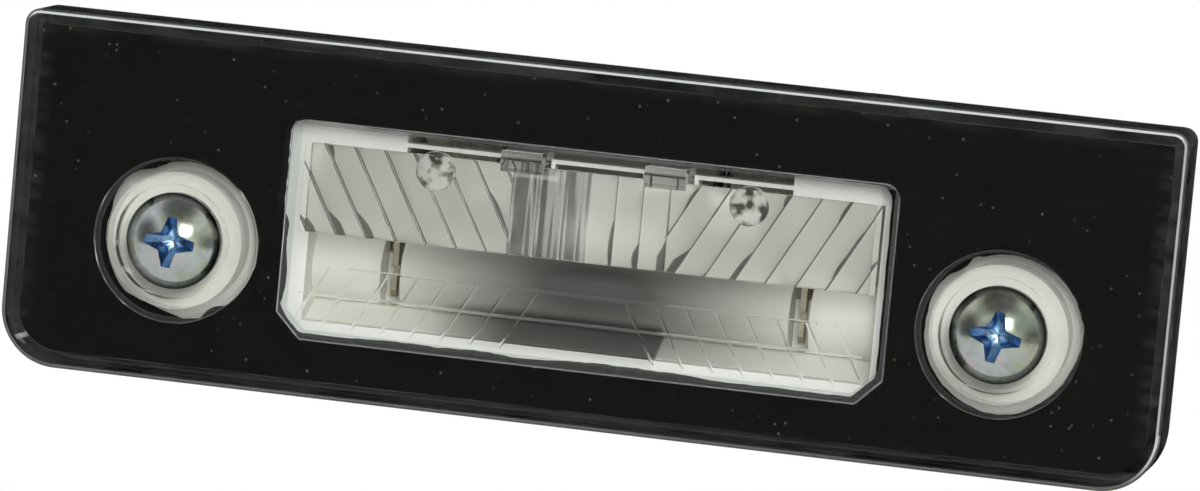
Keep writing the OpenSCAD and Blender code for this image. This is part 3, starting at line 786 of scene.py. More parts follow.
@dataclass(frozen=True)
class Moulding(Finish):
    """Opaque moulded plastic: flow marks, painted shade on the shield and in the recess under it, and painted
    light on the front faces within the window's width.

    Lengths and places are in millimetres.
    """

    mottle: Span = (0.95, 1.04)
    mottle_span: Span = (0.38, 0.6)
    mottle_grain: Grain = (0.12, 4, (0.5, 1, 2))
    # Painted shade on the shield, darkest in the middle of a flattened oval
    shield_shade: Color = (0.07, 0.066, 0.066)
    shield_shade_middle: Point = (0.0, -0.6)
    shield_shade_reach: Point = (19.5, 9.0)
    shield_shade_depth: Span = (-1.4, 2.6)
    shield_shade_power: float = 2.6
    shield_shade_span: Span = (1.0, 0.15)
    shield_shade_soft: float = 0.3
    # Painted shade in the recess under the shield, with a sharp right edge
    under_shade: Color = (0.045, 0.044, 0.043)
    under_shade_x: Span = (-10.5, 5.8)
    under_shade_fades: tuple[float, float] = (3.5, 0.15)
    under_shade_z: Span = (-6.2, -3.3)
    under_shade_z_soft: float = 0.35
    under_shade_ahead: float = 1.45
    under_shade_depth: float = 4.5
    under_shade_depth_soft: float = 0.15
    under_shade_most: float = 0.82
    # Painted light: the front faces within the window's width are lighter
    painted_lit: Color = (0.95, 0.95, 0.93)
    painted_lit_x: float = 26.5
    painted_lit_soft: float = 0.5
    flange_face: float = -2.8
    flange_soft: float = 0.05
    skin_grain: Grain = (4, 2)
    skin_height: float = 0.02
    skin_strength: float = 0.4

    def painted_shield_shade(self, recipe: Recipe, x: Socket, y: Socket, z: Socket) -> Socket:
        """Gives the painted shade on the shield, least at the ends of a flattened oval.

        Args:
            recipe: the housing's recipe.
            x: place across.
            y: place in depth.
            z: place in height.

        Returns:
            The cast, from 0 to 1.
        """
        middle, half = self.shield_shade_middle, self.shield_shade_reach
        along = recipe.math("DIVIDE", recipe.less(x, middle[0]), half[0])
        up = recipe.math("DIVIDE", recipe.less(z, middle[1]), half[1])
        flattened = recipe.math("POWER", recipe.unsigned(along), self.shield_shade_power)
        away = recipe.math("SQRT", recipe.total(flattened, recipe.product(up, up)))
        return recipe.product(recipe.scaled(away, *self.shield_shade_span),
                              recipe.inside(y, *self.shield_shade_depth, self.shield_shade_soft))

    def painted_under_shade(self, recipe: Recipe, x: Socket, y: Socket, z: Socket) -> Socket:
        """Gives the painted shade in the recess under the shield.

        Args:
            recipe: the housing's recipe.
            x: place across.
            y: place in depth.
            z: place in height.

        Returns:
            The soot, from 0 to 1.
        """
        (left, right), (left_fade, right_fade) = self.under_shade_x, self.under_shade_fades
        return recipe.product(recipe.scaled(x, left - left_fade, left + left_fade),
                              recipe.scaled(x, right + right_fade, right - right_fade),
                              recipe.inside(z, *self.under_shade_z, self.under_shade_z_soft),
                              recipe.inside(y, self.shield_shade_depth[0] - self.under_shade_ahead, self.under_shade_depth,
                                            self.under_shade_depth_soft))

    def detail(self, recipe: Recipe) -> None:
        """Adds long pale flow marks, the painted shade on the shield and under it, the painted light on the
        front faces and a fine relief.

        Args:
            recipe: the recipe that gets the nodes.
        """
        x, y, z = recipe.axes(recipe.place())
        # Painted light on the front faces within the window's width
        pale = recipe.product(
            recipe.scaled(recipe.unsigned(x), self.painted_lit_x + self.painted_lit_soft, self.painted_lit_x),
            recipe.scaled(y, self.flange_face, self.flange_face - self.flange_soft))
        body = recipe.mixed(pale, self.mottled(recipe), self.painted_lit)
        # Painted shade on the shield and in the recess under it
        greyed = recipe.mixed(self.painted_shield_shade(recipe, x, y, z), body, self.shield_shade)
        painted_under_shade = recipe.held(self.painted_under_shade(recipe, x, y, z), self.under_shade_most)
        recipe.link(recipe.mixed(painted_under_shade, greyed, self.under_shade), "Base Color")
        recipe.relief(recipe.grain(*self.skin_grain), self.skin_height, self.skin_strength)


@dataclass(frozen=True)
class Metal(Finish):
    """Plated or bare metal with worn patches, painted shade towards a screw head's rim where it has one, a
    varying roughness and fine scratches.
    """

    worn: Color = (0.5, 0.5, 0.48)
    wear: float = 0.3
    wear_grain: Grain = (1.3, 5)
    wear_span: Span = (0.5, 0.75)
    tints: tuple[Color, ...] = ()
    tint_grain: Grain = (0.33, 2)
    tint_start: float = 0.3
    tint_length: float = 0.4
    # Painted shade towards the head's rim, as distances from the screw's axis
    shaded_rim: Span | None = None
    dull: Color = (0.035, 0.04, 0.037)
    axis_x: float = 34.5
    rough_grain: Grain = (2.2, 4)
    rough_span: Span = (0.3, 0.7)
    rough_share: Span = (0.8, 1.5)
    scratch_grain: Grain = (9, 3, (1, 1, 0.3))
    scratch_height: float = 0.01
    scratch_strength: float = 0.35

    def plating(self, recipe: Recipe) -> object:
        """The plating's colour, which turns from one tint to the next where it has several.

        Args:
            recipe: the recipe that gets the nodes.

        Returns:
            A colour, or the output that gives one.
        """
        if not self.tints:
            return self.color
        last = len(self.tints) - 1
        stops = [(self.tint_start + self.tint_length * i / last, tint) for i, tint in enumerate(self.tints)]
        return recipe.ramp(recipe.grain(*self.tint_grain), stops)

    def detail(self, recipe: Recipe) -> None:
        """Adds tints of the plating, patches that are dull, painted shade towards the head's rim where it has
        one, and fine scratches.

        Args:
            recipe: the recipe that gets the nodes.
        """
        patches = recipe.scaled(recipe.grain(*self.wear_grain), *self.wear_span, 0, self.wear)
        color = recipe.mixed(patches, self.plating(recipe), self.worn)
        # Painted shade: the head darker towards its rim
        if self.shaded_rim:
            x, _, z = recipe.axes(recipe.place())
            away = recipe.reach(recipe.less(recipe.unsigned(x), self.axis_x), z)
            color = recipe.mixed(recipe.scaled(away, *self.shaded_rim), color, self.dull)
        recipe.link(color, "Base Color")
        smooth, rough = (self.roughness * share for share in self.rough_share)
        grain = recipe.grain(*self.rough_grain)
        recipe.link(recipe.scaled(grain, *self.rough_span, smooth, rough), "Roughness")
        recipe.relief(recipe.grain(*self.scratch_grain), self.scratch_height, self.scratch_strength)


@dataclass(frozen=True)
class ClearGlass(Finish):
    """Thin clear bulb glass."""

    ior: float = 1.5
    wave_grain: Grain = (0.25, 2)
    wave_height: float = 0.02
    wave_strength: float = 0.3

    def detail(self, recipe: Recipe) -> None:
        """Makes the glass see-through with a faint waviness."""
        recipe.set(Transmission_Weight=1.0, IOR=self.ior)
        recipe.relief(recipe.grain(*self.wave_grain), self.wave_height, self.wave_strength)


class Finishes:
    """Every finish of the lamp, each made once."""

    CLEAR_LENS = ClearMoulding("clear_lens", (0.95, 0.97, 0.94), 0.015)
    BLACK_FOAM = Foam("black_foam", (0.006, 0.006, 0.0055), 0.85)
    PALE_HOUSING = Moulding("pale_housing", (0.79, 0.78, 0.735), 0.42)
    SPRING_BRASS = Metal("spring_brass", (0.5, 0.45, 0.36), 0.35, 1.0, worn=(0.36, 0.32, 0.26))
    TAB_BRASS = Metal("tab_brass", (0.7, 0.56, 0.3), 0.28, 1.0, worn=(0.5, 0.4, 0.25))
    CAP_METAL = Metal("cap_metal", (0.66, 0.64, 0.6), 0.25, 1.0)
    SOLDER = Metal("dull_solder", (0.6, 0.6, 0.6), 0.45, 1.0)
    TUNGSTEN = Metal("tungsten_wire", (0.3, 0.29, 0.29), 0.4, 1.0)
    LEAD_WIRE = Metal("lead_wire", (0.6, 0.58, 0.54), 0.35, 1.0)
    ZINC = Metal("blue_zinc", (0.5, 0.53, 0.49), 0.16, 1.0, worn=(0.22, 0.25, 0.22), wear=0.6,
                 tints=((0.2, 0.24, 0.19), (0.36, 0.38, 0.3), (0.4, 0.45, 0.46), (0.46, 0.42, 0.41)),
                 shaded_rim=(3.4, 3.9))
    RECESS = Metal("blue_recess", (0.3, 0.45, 0.62), 0.2, 1.0, worn=(0.09, 0.19, 0.34), wear=0.7)
    BLACK_RUBBER = Finish("black_rubber", (0.02, 0.02, 0.02), 0.6)
    BULB_GLASS = ClearGlass("bulb_glass", (0.97, 0.98, 0.98), 0.0)

    _made: dict[str, bpy.types.Material] = {}

    @classmethod
    def get(cls, finish: Finish) -> bpy.types.Material:
        """Returns a finish's material, built on first use.

        Args:
            finish: the finish.

        Returns:
            Its material.
        """
        if finish.name not in cls._made:
            cls._made[finish.name] = finish.make()
        return cls._made[finish.name]

    @classmethod
    def dress(cls, obj: bpy.types.Object, *finishes: Finish) -> None:
        """Gives an object these finishes and no others, and keeps which face has which.

        Args:
            obj: the object.
            finishes: a finish for each of its slots.
        """
        if obj.data.materials:
            obj.data.materials.clear()
        for finish in finishes:
            obj.data.materials.append(cls.get(finish))


# Meshes


def new_object(name: str, mesh: Mesh, smooth_angle: float | None = None) -> bpy.types.Object:
    """Turns a mesh under construction into an object of the lamp.

    Args:
        name: name of the object.
        mesh: the finished mesh, which is freed.
        smooth_angle: edges flatter than this many degrees are shaded smooth.

    Returns:
        The object, linked to the scene.
    """
    data = bpy.data.meshes.new(name)
    bmesh.ops.recalc_face_normals(mesh, faces=mesh.faces[:])
    mesh.to_mesh(data)
    mesh.free()
    made = bpy.data.objects.new(name, data)
    bpy.context.scene.collection.objects.link(made)
    if smooth_angle is not None:
        data.shade_smooth()
        data.set_sharp_from_angle(angle=math.radians(smooth_angle))
    return made


def loft(mesh: Mesh, rings: Sequence[Sequence[Vector]]) -> list[list[Vertex]]:
    """Joins closed rings of points with quads.

    Args:
        mesh: mesh that gets the faces.
        rings: rings with the same number of points.

    Returns:
        The rings' vertices.
    """
    rows = [[mesh.verts.new(p) for p in ring] for ring in rings]
    count = len(rows[0])
    for lower, upper in zip(rows, rows[1:]):
        for i in range(count):
            j = (i + 1) % count
            mesh.faces.new((lower[i], lower[j], upper[j], upper[i]))
    return rows


def closed_loft(rings: Sequence[Sequence[Vector]]) -> Mesh:
    """Joins closed rings of points to a body with a face at each end.

    Args:
        rings: rings with the same number of points.

    Returns:
        The body.
    """
    mesh = bmesh.new()
    rows = loft(mesh, rings)
    for end in (0, -1):
        mesh.faces.new(rows[end])
    return mesh


def disc(name: str, radius: float, segments: int) -> bpy.types.Object:
    """Makes a flat round sheet as an object of the scene.

    Args:
        name: name of the object.
        radius: its radius, in metres.
        segments: number of its corners.

    Returns:
        The sheet.
    """
    mesh = bmesh.new()
    bmesh.ops.create_circle(mesh, cap_ends=True, radius=radius, segments=segments)
    return new_object(name, mesh)


def lathe(mesh: Mesh, profile: Sequence[Point], steps: int) -> None:
    """Turns a profile of (radius, height) about Z; a radius of 0 at an end closes it.

    Args:
        mesh: mesh that gets the faces.
        profile: the profile's points from bottom to top.
        steps: faces round the axis.
    """
    rows: list[list[Vertex]] = []
    for radius, height in profile:
        if radius < POLE:
            rows.append([mesh.verts.new((0, 0, height))])
            continue
        angles = [2 * math.pi * i / steps for i in range(steps)]
        rows.append([mesh.verts.new((radius * math.cos(a), radius * math.sin(a), height)) for a in angles])
    for lower, upper in zip(rows, rows[1:]):
        for i in range(steps):
            j = (i + 1) % steps
            if len(lower) == 1:
                mesh.faces.new((lower[0], upper[j], upper[i]))
            elif len(upper) == 1:
                mesh.faces.new((lower[i], lower[j], upper[0]))
            else:
                mesh.faces.new((lower[i], lower[j], upper[j], upper[i]))


def ring_outline(middle: Point, radius: float, step: float) -> list[Point]:
    """Points round a circle, about one step apart.

    Args:
        middle: the circle's middle.
        radius: its radius.
        step: distance between points.

    Returns:
        The points, anticlockwise.
    """
    count = max(FEWEST_RING_POINTS, round(2 * math.pi * radius / step))
    return [(middle[0] + radius * math.cos(2 * math.pi * i / count),
             middle[1] + radius * math.sin(2 * math.pi * i / count)) for i in range(count)]


def rounded_outline(corners: Sequence[Place], step: float) -> list[Point]:
    """Outline through corners that are rounded by their own radius, with points about one step apart.

    Args:
        corners: (x, z, radius) of each corner, anticlockwise.
        step: distance between points.

    Returns:
        The outline's points.
    """
    path: list[Point] = []
    count = len(corners)
    for i, (x, z, radius) in enumerate(corners):
        here = Vector((x, z))
        before = (Vector(corners[i - 1][:2]) - here).normalized()
        after = (Vector(corners[(i + 1) % count][:2]) - here).normalized()
        half = before.angle(after) / 2
        reach = radius / math.tan(half)
        middle = here + (before + after).normalized() * radius / math.sin(half)
        start, end = here + before * reach - middle, here + after * reach - middle
        turn = math.pi - 2 * half
        pieces = max(1, round(radius * turn / step))
        path += [tuple(middle + Matrix.Rotation(turn * k / pieces, 2) @ start) for k in range(pieces)]
        path.append(tuple(middle + end))
    filled: list[Point] = []
    for i, point in enumerate(path):
        following = path[(i + 1) % len(path)]
        length = math.dist(point, following)
        pieces = max(1, round(length / step))
        filled += [tuple(Vector(point).lerp(Vector(following), k / pieces)) for k in range(pieces)]
    return filled


def ragged(outline: Sequence[Point], wave: float, fray: float, seed: float,
           extra: Callable[[float, float], float] | None = None) -> list[Point]:
    """Moves an outline's points in and out, as a knife does in foam.

    Args:
        outline: points in order.
        wave: height of the slow waves.
        fray: height of the fine fray.
        seed: shifts the noise.
        extra: further outward shift at a point.

    Returns:
        The moved points.
    """
    moved: list[Point] = []
    count = len(outline)
    for i, (x, z) in enumerate(outline):
        along = Vector(outline[(i + 1) % count]) - Vector(outline[i - 1])
        out = Vector((along.y, -along.x)).normalized()
        slow = noise.noise(Vector((x / MM * WAVE_SCALE, z / MM * WAVE_SCALE, seed)))
        fine = noise.noise(Vector((x / MM * FRAY_SCALE, z / MM * FRAY_SCALE, seed + FRAY_SEED)))
        shift = wave * slow + fray * fine + (extra(x, z) if extra else 0)
        moved.append((x + out.x * shift, z + out.y * shift))
    return moved


# The lamp's sub-assemblies


@dataclass
class Frame:
    """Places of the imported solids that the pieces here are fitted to, in metres."""

    lens: Box = field(default_factory=lambda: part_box("lens"))
    gasket: Box = field(default_factory=lambda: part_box("lens_gasket"))
    nodes: dict[str, bpy.types.Object] = field(default_factory=dict)

    def screw(self, side: Side) -> Box:
        """The box of one screw."""
        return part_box(f"screw_{side.word}")


@dataclass(frozen=True)
class Bite:
    """Place where the knife went astray: foam left standing (positive depth) or torn away, in millimetres."""

    x: float
    z: float
    reach: float
    depth: float

    def at(self, x: float, z: float) -> float:
        """How far the foam's edge moves into the opening at a place, in metres."""
        away = math.hypot(x - self.x * MM, z - self.z * MM) / (self.reach * MM)
        return self.depth * MM * max(0.0, 1 - away * away)


@dataclass
class Gasket:
    """Black foam sheet behind the lens, with hand-cut, torn openings and a rim squeezed round the flange."""

    frame: Frame
    clearance: float = 0.03 * MM
    step: float = 0.28 * MM

    # The sheet and the rim round it, which is torn off at the two right corners
    sheet_thickness: float = 2.4 * MM
    rim_thickness: float = 0.2 * MM
    corner_upper: float = 0.3 * MM
    corner_lower: float = 3.55 * MM
    torn_corner: float = 3.4 * MM
    torn_from: float = 0.7
    torn_rise: float = 3
    rim_least: float = 0.02

    # The window's opening
    window_left: float = 26.05 * MM
    window_right: float = 24.75 * MM
    window_top: float = 11.0 * MM
    window_drop: float = 6.75 * MM
    window_chamfer: float = 2.1 * MM
    window_lower_corner: float = 0.4 * MM
    window_upper_corner: float = 1.2 * MM
    window_seed: float = 3.0

    # The openings round the screws, which widen to the back
    ring_radius: float = 6.5 * MM
    left_shift: Point = (0.55 * MM, 0.05 * MM)
    right_shift: Point = (0.4 * MM, 0.0)
    undercut: float = 1.8 * MM
    ring_seed: float = 11.0

    # The knife's marks
    layer_seed: float = 0.35
    wave: float = 0.1 * MM
    fray: float = 0.07 * MM
    rings: int = 4
    smooth_angle: float = 50
    window_bites: tuple[Bite, ...] = (
        Bite(-26.1, 1.9, 1.3, 0.5), Bite(-26.1, -2.0, 3.6, 0.6), Bite(-21.0, 10.9, 2.6, -0.2),
        Bite(-12.0, -6.7, 9.0, 0.15), Bite(3.0, -6.7, 7.0, 0.3),
    )
    left_bites: tuple[Bite, ...] = (
        Bite(-36.0, -6.1, 2.7, 0.5), Bite(-30.9, -5.4, 1.2, 0.45), Bite(-38.9, 4.4, 2.6, -0.4),
        Bite(-36.9, 6.1, 1.3, 0.12),
    )
    right_bites: tuple[Bite, ...] = (
        Bite(39.9, -3.4, 4.4, 0.4), Bite(30.7, 5.4, 1.2, 0.3), Bite(31.9, 6.2, 0.8, -0.25),
        Bite(28.4, 3.2, 2.0, -0.2),
    )

    def window(self) -> list[Point]:
        """Outline of the window's opening, anticlockwise.

        Returns:
            The outline's points.
        """
        left, right, top, bottom = -self.window_left, self.window_right, self.window_top, -self.window_drop
        cut, small, large = self.window_chamfer, self.window_lower_corner, self.window_upper_corner
        corners = [(left, bottom + cut, small), (left + cut, bottom, small), (right - cut, bottom, small),
                   (right, bottom + cut, small), (right, top, large), (left, top, large)]
        return rounded_outline(corners, self.step)

    def sheet_edge(self) -> list[Point]:
        """Outline of the whole sheet.

        Returns:
            The outline's points.
        """
        low, high = self.frame.gasket
        upper, lower = self.corner_upper, self.corner_lower
        corners = [(low.x, low.z, lower), (high.x, low.z, lower),
                   (high.x, high.z, upper), (low.x, high.z, upper)]
        return rounded_outline(corners, self.step * 2)

    def openings(self) -> list[tuple[list[Point], float, float, tuple[Bite, ...]]]:
        """Each opening's outline, how far its wall slants outwards, a seed for its fray and its bites.

        Returns:
            The window first, then the screws' openings.
        """
        found = [(self.window(), 0.0, self.window_seed, self.window_bites)]
        for side in Side:
            low, high = self.frame.screw(side)
            left = side is Side.LEFT
            shift = self.left_shift if left else self.right_shift
            middle = ((low.x + high.x) / 2 + shift[0], (low.z + high.z) / 2 + shift[1])
            bites = self.left_bites if left else self.right_bites
            ring = ring_outline(middle, self.ring_radius, self.step)
            found.append((ring, self.undercut, self.ring_seed + side.value, bites))
        return found

    def rim_rings(self, front: float, rear: float, end: float) -> list[list[Vector]]:
        """Rings from the sheet's front edge over the rim to the sheet's rear edge.

        Args:
            front: place of the sheet's front along Y.
            rear: place of the sheet's rear.
            end: place of the rim's end.

        Returns:
            The rings in order.
        """
        outer = self.sheet_edge()
        inner = ragged(outer, 0, 0, 0, lambda x, z: -self.rim_thickness)
        low, high = self.frame.gasket
        corners = [Vector((high.x, high.z)), Vector((high.x, low.z))]

        def reach(point: Point) -> float:
            """How far back the rim goes at a point: next to nothing at the two torn corners.

            Args:
                point: a point of the sheet's edge.

            Returns:
                The rim's end there, along Y.
            """
            away = min((Vector(point) - corner).length for corner in corners) / self.torn_corner
            share = min(1.0, max(self.rim_least, (away - self.torn_from) * self.torn_rise))
            return rear + (end - rear) * share

        levels = [front, (front + rear) / 2]
        rings = [[Vector((x, y, z)) for x, z in outer] for y in levels]
        rings.append([Vector((p[0], reach(p), p[1])) for p in outer])
        rings.append([Vector((q[0], reach(p), q[1])) for p, q in zip(outer, inner)])
        rings.append([Vector((x, rear, z)) for x, z in inner])
        return rings

    def build(self) -> bpy.types.Object:
        """Makes the sheet and lets it stand for the CAD gasket.

        Returns:
            The gasket.
        """
        low, high = self.frame.gasket
        front, rear = low.y + self.clearance, low.y + self.sheet_thickness - self.clearance
        mesh = bmesh.new()
        rows_of = [loft(mesh, self.rim_rings(front, rear, high.y))]
        for outline, undercut, seed, bites in self.openings():
            rings = []
            for k in range(self.rings):
                share = k / (self.rings - 1)
                wider = undercut * share

                def shift(x: float, z: float, bites: tuple[Bite, ...] = bites, wider: float = wider) -> float:
                    """How far out this layer of the opening lies at a place."""
                    return wider - sum(bite.at(x, z) for bite in bites)

                torn = ragged(outline, self.wave, self.fray, seed + self.layer_seed * k, shift)
                rings.append([Vector((x, front + (rear - front) * share, z)) for x, z in torn])
            rows_of.append(loft(mesh, rings))
        for end in (0, -1):
            edges = [mesh.edges.get((rows[end][i], rows[end][(i + 1) % len(rows[end])]))
                     for rows in rows_of for i in range(len(rows[end]))]
            bmesh.ops.triangle_fill(mesh, use_beauty=True, edges=edges)
        made = new_object("torn_gasket", mesh, self.smooth_angle)
        Finishes.dress(made, Finishes.BLACK_FOAM)
        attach(made, "root")
        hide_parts("lens_gasket")
        return made


@dataclass
class Screw:
    """Self-tapping pan head screw with a cross recess and a real thread."""

    frame: Frame
    side: Side
    turned: float
    smooth_angle: float = 35

    # The head
    steps: int = 72
    rim: float = 0.8 * MM
    head_height: float = 2.7 * MM
    seat_share: float = 0.985
    seat_edge: float = 0.06 * MM
    rim_share: float = 0.9
    dome_steps: int = 12

    # The shank and its thread
    pitch: float = 1.4 * MM
    core_share: float = 0.72
    plain_neck: float = 1.6 * MM
    shank_radius: float = 2.1 * MM
    shank_steps: int = 40
    turn_steps: int = 14
    crest_slope: float = 3.2
    tip_length: float = 3.2 * MM
    tip_share: float = 0.08

    # The recess, level by level from its point: shares of the span and of the arm's width
    recess_span: float = 4.7 * MM
    recess_arm: float = 0.95 * MM
    recess_waist: float = 1.6
    recess_hollow: float = 0.88
    recess_depth: float = 1.9 * MM
    recess_over: float = 0.5 * MM
    recess_point: float = 0.3 * MM
    recess_levels: tuple[Point, ...] = ((0.1, 0.12), (0.44, 0.62), (1.2, 1.12))
    recess_corner: float = 0.85
    sunk: float = 0.02 * MM
    sunk_from: float = 0.3 * MM
    sunk_share: float = 0.6
    sliver: float = 0.004 * MM

    def head_radius(self) -> float:
        """Radius of the head, taken from the CAD screw's box."""
        low, high = self.frame.screw(self.side)
        return (high.x - low.x) / 2

    def dome_radius(self) -> float:
        """Radius of the sphere that the head's top belongs to."""
        dome = self.head_height - self.rim
        return (self.head_radius() ** 2 + dome ** 2) / (2 * dome)

    def head(self) -> Mesh:
        """Domed head, standing on Z 0.

        Returns:
            The head, closed.
        """
        radius, sphere = self.head_radius(), self.dome_radius()
        profile: list[Point] = [(0, 0), (radius * self.seat_share, 0), (radius, self.seat_edge),
                                (radius, self.rim * self.rim_share)]
        reach = math.asin(radius / sphere)
        for k in range(self.dome_steps + 1):
            a = reach * (1 - k / self.dome_steps)
            profile.append((sphere * math.sin(a), self.head_height - sphere + sphere * math.cos(a)))
        profile[-1] = (0, self.head_height)
        mesh = bmesh.new()
        lathe(mesh, profile, self.steps)
        return mesh

    def recess(self) -> Mesh:
        """Four-pointed cross with hollow flanks, tapering inwards, that is cut from the head.

        Returns:
            The cutter, closed.
        """
        floor = self.head_height - self.recess_depth
        heights = (floor - self.recess_point, floor, self.head_height + self.recess_over)
        rings = []
        for height, (share, arm) in zip(heights, self.recess_levels):
            half, thick = self.recess_span / 2 * share, self.recess_arm / 2 * arm
            notch, corner = thick * self.recess_waist, thick * self.recess_corner
            flank = ((half + notch) / 2, (thick + notch) / 2 * self.recess_hollow)
            quarter = [(flank[0], -flank[1]), (half, -corner), (half, corner), flank, (notch, notch)]
            rings.append([Matrix.Rotation(math.radians(90 * k), 3, "Z") @ Vector((x, y, height))
                          for k in range(4) for x, y in quarter])
        return closed_loft(rings)

    def shank(self) -> Mesh:
        """Shank with a helical thread that runs out in the point.

        Returns:
            The shank, closed.
        """
        low, high = self.frame.screw(self.side)
        length = (high.y - low.y) - self.head_height
        levels = round(length / self.pitch * self.turn_steps)
        rings = []
        for k in range(levels + 1):
            z = -length * (1 - k / levels)
            from_tip = z + length
            taper = min(1.0, self.tip_share + (1 - self.tip_share) * from_tip / self.tip_length)
            fade = min(1.0, max(0.0, (-z - self.plain_neck) / self.pitch))
            ring = []
            for i in range(self.shank_steps):
                a = 2 * math.pi * i / self.shank_steps
                phase = (z / self.pitch - i / self.shank_steps) % 1.0
                crest = max(0.0, 1 - abs(phase - 0.5) * self.crest_slope)
                share = self.core_share + (1 - self.core_share) * crest * fade
                r = self.shank_radius * share * taper
                ring.append(Vector((r * math.cos(a), r * math.sin(a), z)))
            rings.append(ring)
        return closed_loft(rings)

    def cut_head(self, name: str) -> Mesh:
        """Cuts the recess from the head and marks the recess's faces for their own finish.

        Args:
            name: name of the screw.

        Returns:
            The head.
        """
        head = new_object(name, self.head(), self.smooth_angle)
        Finishes.dress(head, Finishes.ZINC, Finishes.RECESS)
        cutter = new_object(f"{name}_cutter", self.recess())
        cut = head.modifiers.new("recess", "BOOLEAN")
        cut.object = cutter
        cut.operation = "DIFFERENCE"
        cut.solver = "EXACT"
        bpy.context.view_layer.update()
        graph = bpy.context.evaluated_depsgraph_get()
        mesh = bmesh.new()
        mesh.from_mesh(bpy.data.meshes.new_from_object(head.evaluated_get(graph)))
        bmesh.ops.remove_doubles(mesh, verts=mesh.verts[:], dist=self.sliver)
        bmesh.ops.dissolve_degenerate(mesh, edges=mesh.edges[:], dist=self.sliver)
        sphere = self.dome_radius()
        middle = Vector((0, 0, self.head_height - sphere))
        for face in mesh.faces:
            at = face.calc_center_median()
            below = (at - middle).length < sphere - self.sunk and at.z > self.sunk_from
            face.material_index = int(below and at.xy.length < self.recess_span * self.sunk_share)
        bpy.data.objects.remove(cutter)
        bpy.data.objects.remove(head)
        return mesh

    def build(self) -> bpy.types.Object:
        """Makes the screw and lets it stand for the CAD one.

        Returns:
            The screw.
        """
        low, high = self.frame.screw(self.side)
        name = f"threaded_screw_{self.side.word}"
        mesh = self.cut_head(name)
        shank = self.shank()
        shank_data = bpy.data.meshes.new(f"{name}_shank")
        bmesh.ops.recalc_face_normals(shank, faces=shank.faces[:])
        shank.to_mesh(shank_data)
        shank.free()
        mesh.from_mesh(shank_data)
        seat = low.y + self.head_height
        turn = Matrix.Rotation(math.radians(90), 4, "X") @ Matrix.Rotation(math.radians(self.turned), 4, "Z")
        centre = Vector(((low.x + high.x) / 2, seat, (low.z + high.z) / 2))
        bmesh.ops.transform(mesh, matrix=Matrix.Translation(centre) @ turn, verts=mesh.verts[:])
        made = new_object(name, mesh, self.smooth_angle)
        Finishes.dress(made, Finishes.ZINC, Finishes.RECESS)
        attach(made, "root")
        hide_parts(f"screw_{self.side.word}")
        return made


@dataclass
class CarriedNodes:
    """The CAD nodes that stay, each with its finish."""

    frame: Frame
    finishes: dict[str, Finish] = field(default_factory=lambda: {
        "lens": Finishes.CLEAR_LENS,
        "housing": Finishes.PALE_HOUSING,
        "panel_seal": Finishes.BLACK_FOAM,
        "contact": Finishes.SPRING_BRASS,
        "terminal": Finishes.TAB_BRASS,
        "rivet": Finishes.TAB_BRASS,
        "bulb_glass": Finishes.BULB_GLASS,
        "bulb_cap": Finishes.CAP_METAL,
        "filament_lead": Finishes.LEAD_WIRE,
        "filament": Finishes.TUNGSTEN,
        "solder": Finishes.SOLDER,
        "retainer": Finishes.BLACK_RUBBER,
    })

    def build(self) -> list[str]:
        """Dresses each node by the longest name that it starts with.

        Returns:
            Names of the dressed nodes.
        """
        dressed = []
        for name, obj in self.frame.nodes.items():
            found = sorted((key for key in self.finishes if name.startswith(key)), key=len)
            if found:
                finish = self.finishes[found[-1]]
                Finishes.dress(obj, finish)
                obj.visible_shadow = not isinstance(finish, (ClearMoulding, ClearGlass))
                dressed.append(name)
        return dressed


# Light, floor and camera


@dataclass(frozen=True)
class Card:
    """Round dark card with a soft edge, outside the picture, that only reflections and clear plastic see."""

    name: str
    towards: Place
    radius: float
    solid: float = 0.42
    strength: float = 1.0
    through_glass: bool = True
    away: float = 1.2
    fade_from: float = 0.97
    segments: int = 64

    def build(self) -> bpy.types.Object:
        """Hangs the card.

        Returns:
            The card.
        """
        made = disc(self.name, self.radius, self.segments)
        towards = Vector(self.towards).normalized()
        made.location = towards * self.away
        made.rotation_euler = towards.to_track_quat("Z", "Y").to_euler()
        for ray in ("camera", "diffuse", "shadow", "volume_scatter"):
            setattr(made, f"visible_{ray}", False)
        made.visible_transmission = self.through_glass
        recipe = Recipe(self.name)
        recipe.set(Base_Color=(0, 0, 0, 1), Roughness=1.0, Specular_IOR_Level=0.0)
        x, y, _ = recipe.axes(recipe.place())
        edge = self.radius / MM
        limits = (edge * self.fade_from, edge * self.solid, 0, self.strength)
        recipe.link(recipe.scaled(recipe.reach(x, y), *limits), "Alpha")
        made.data.materials.append(recipe.material)
        return made


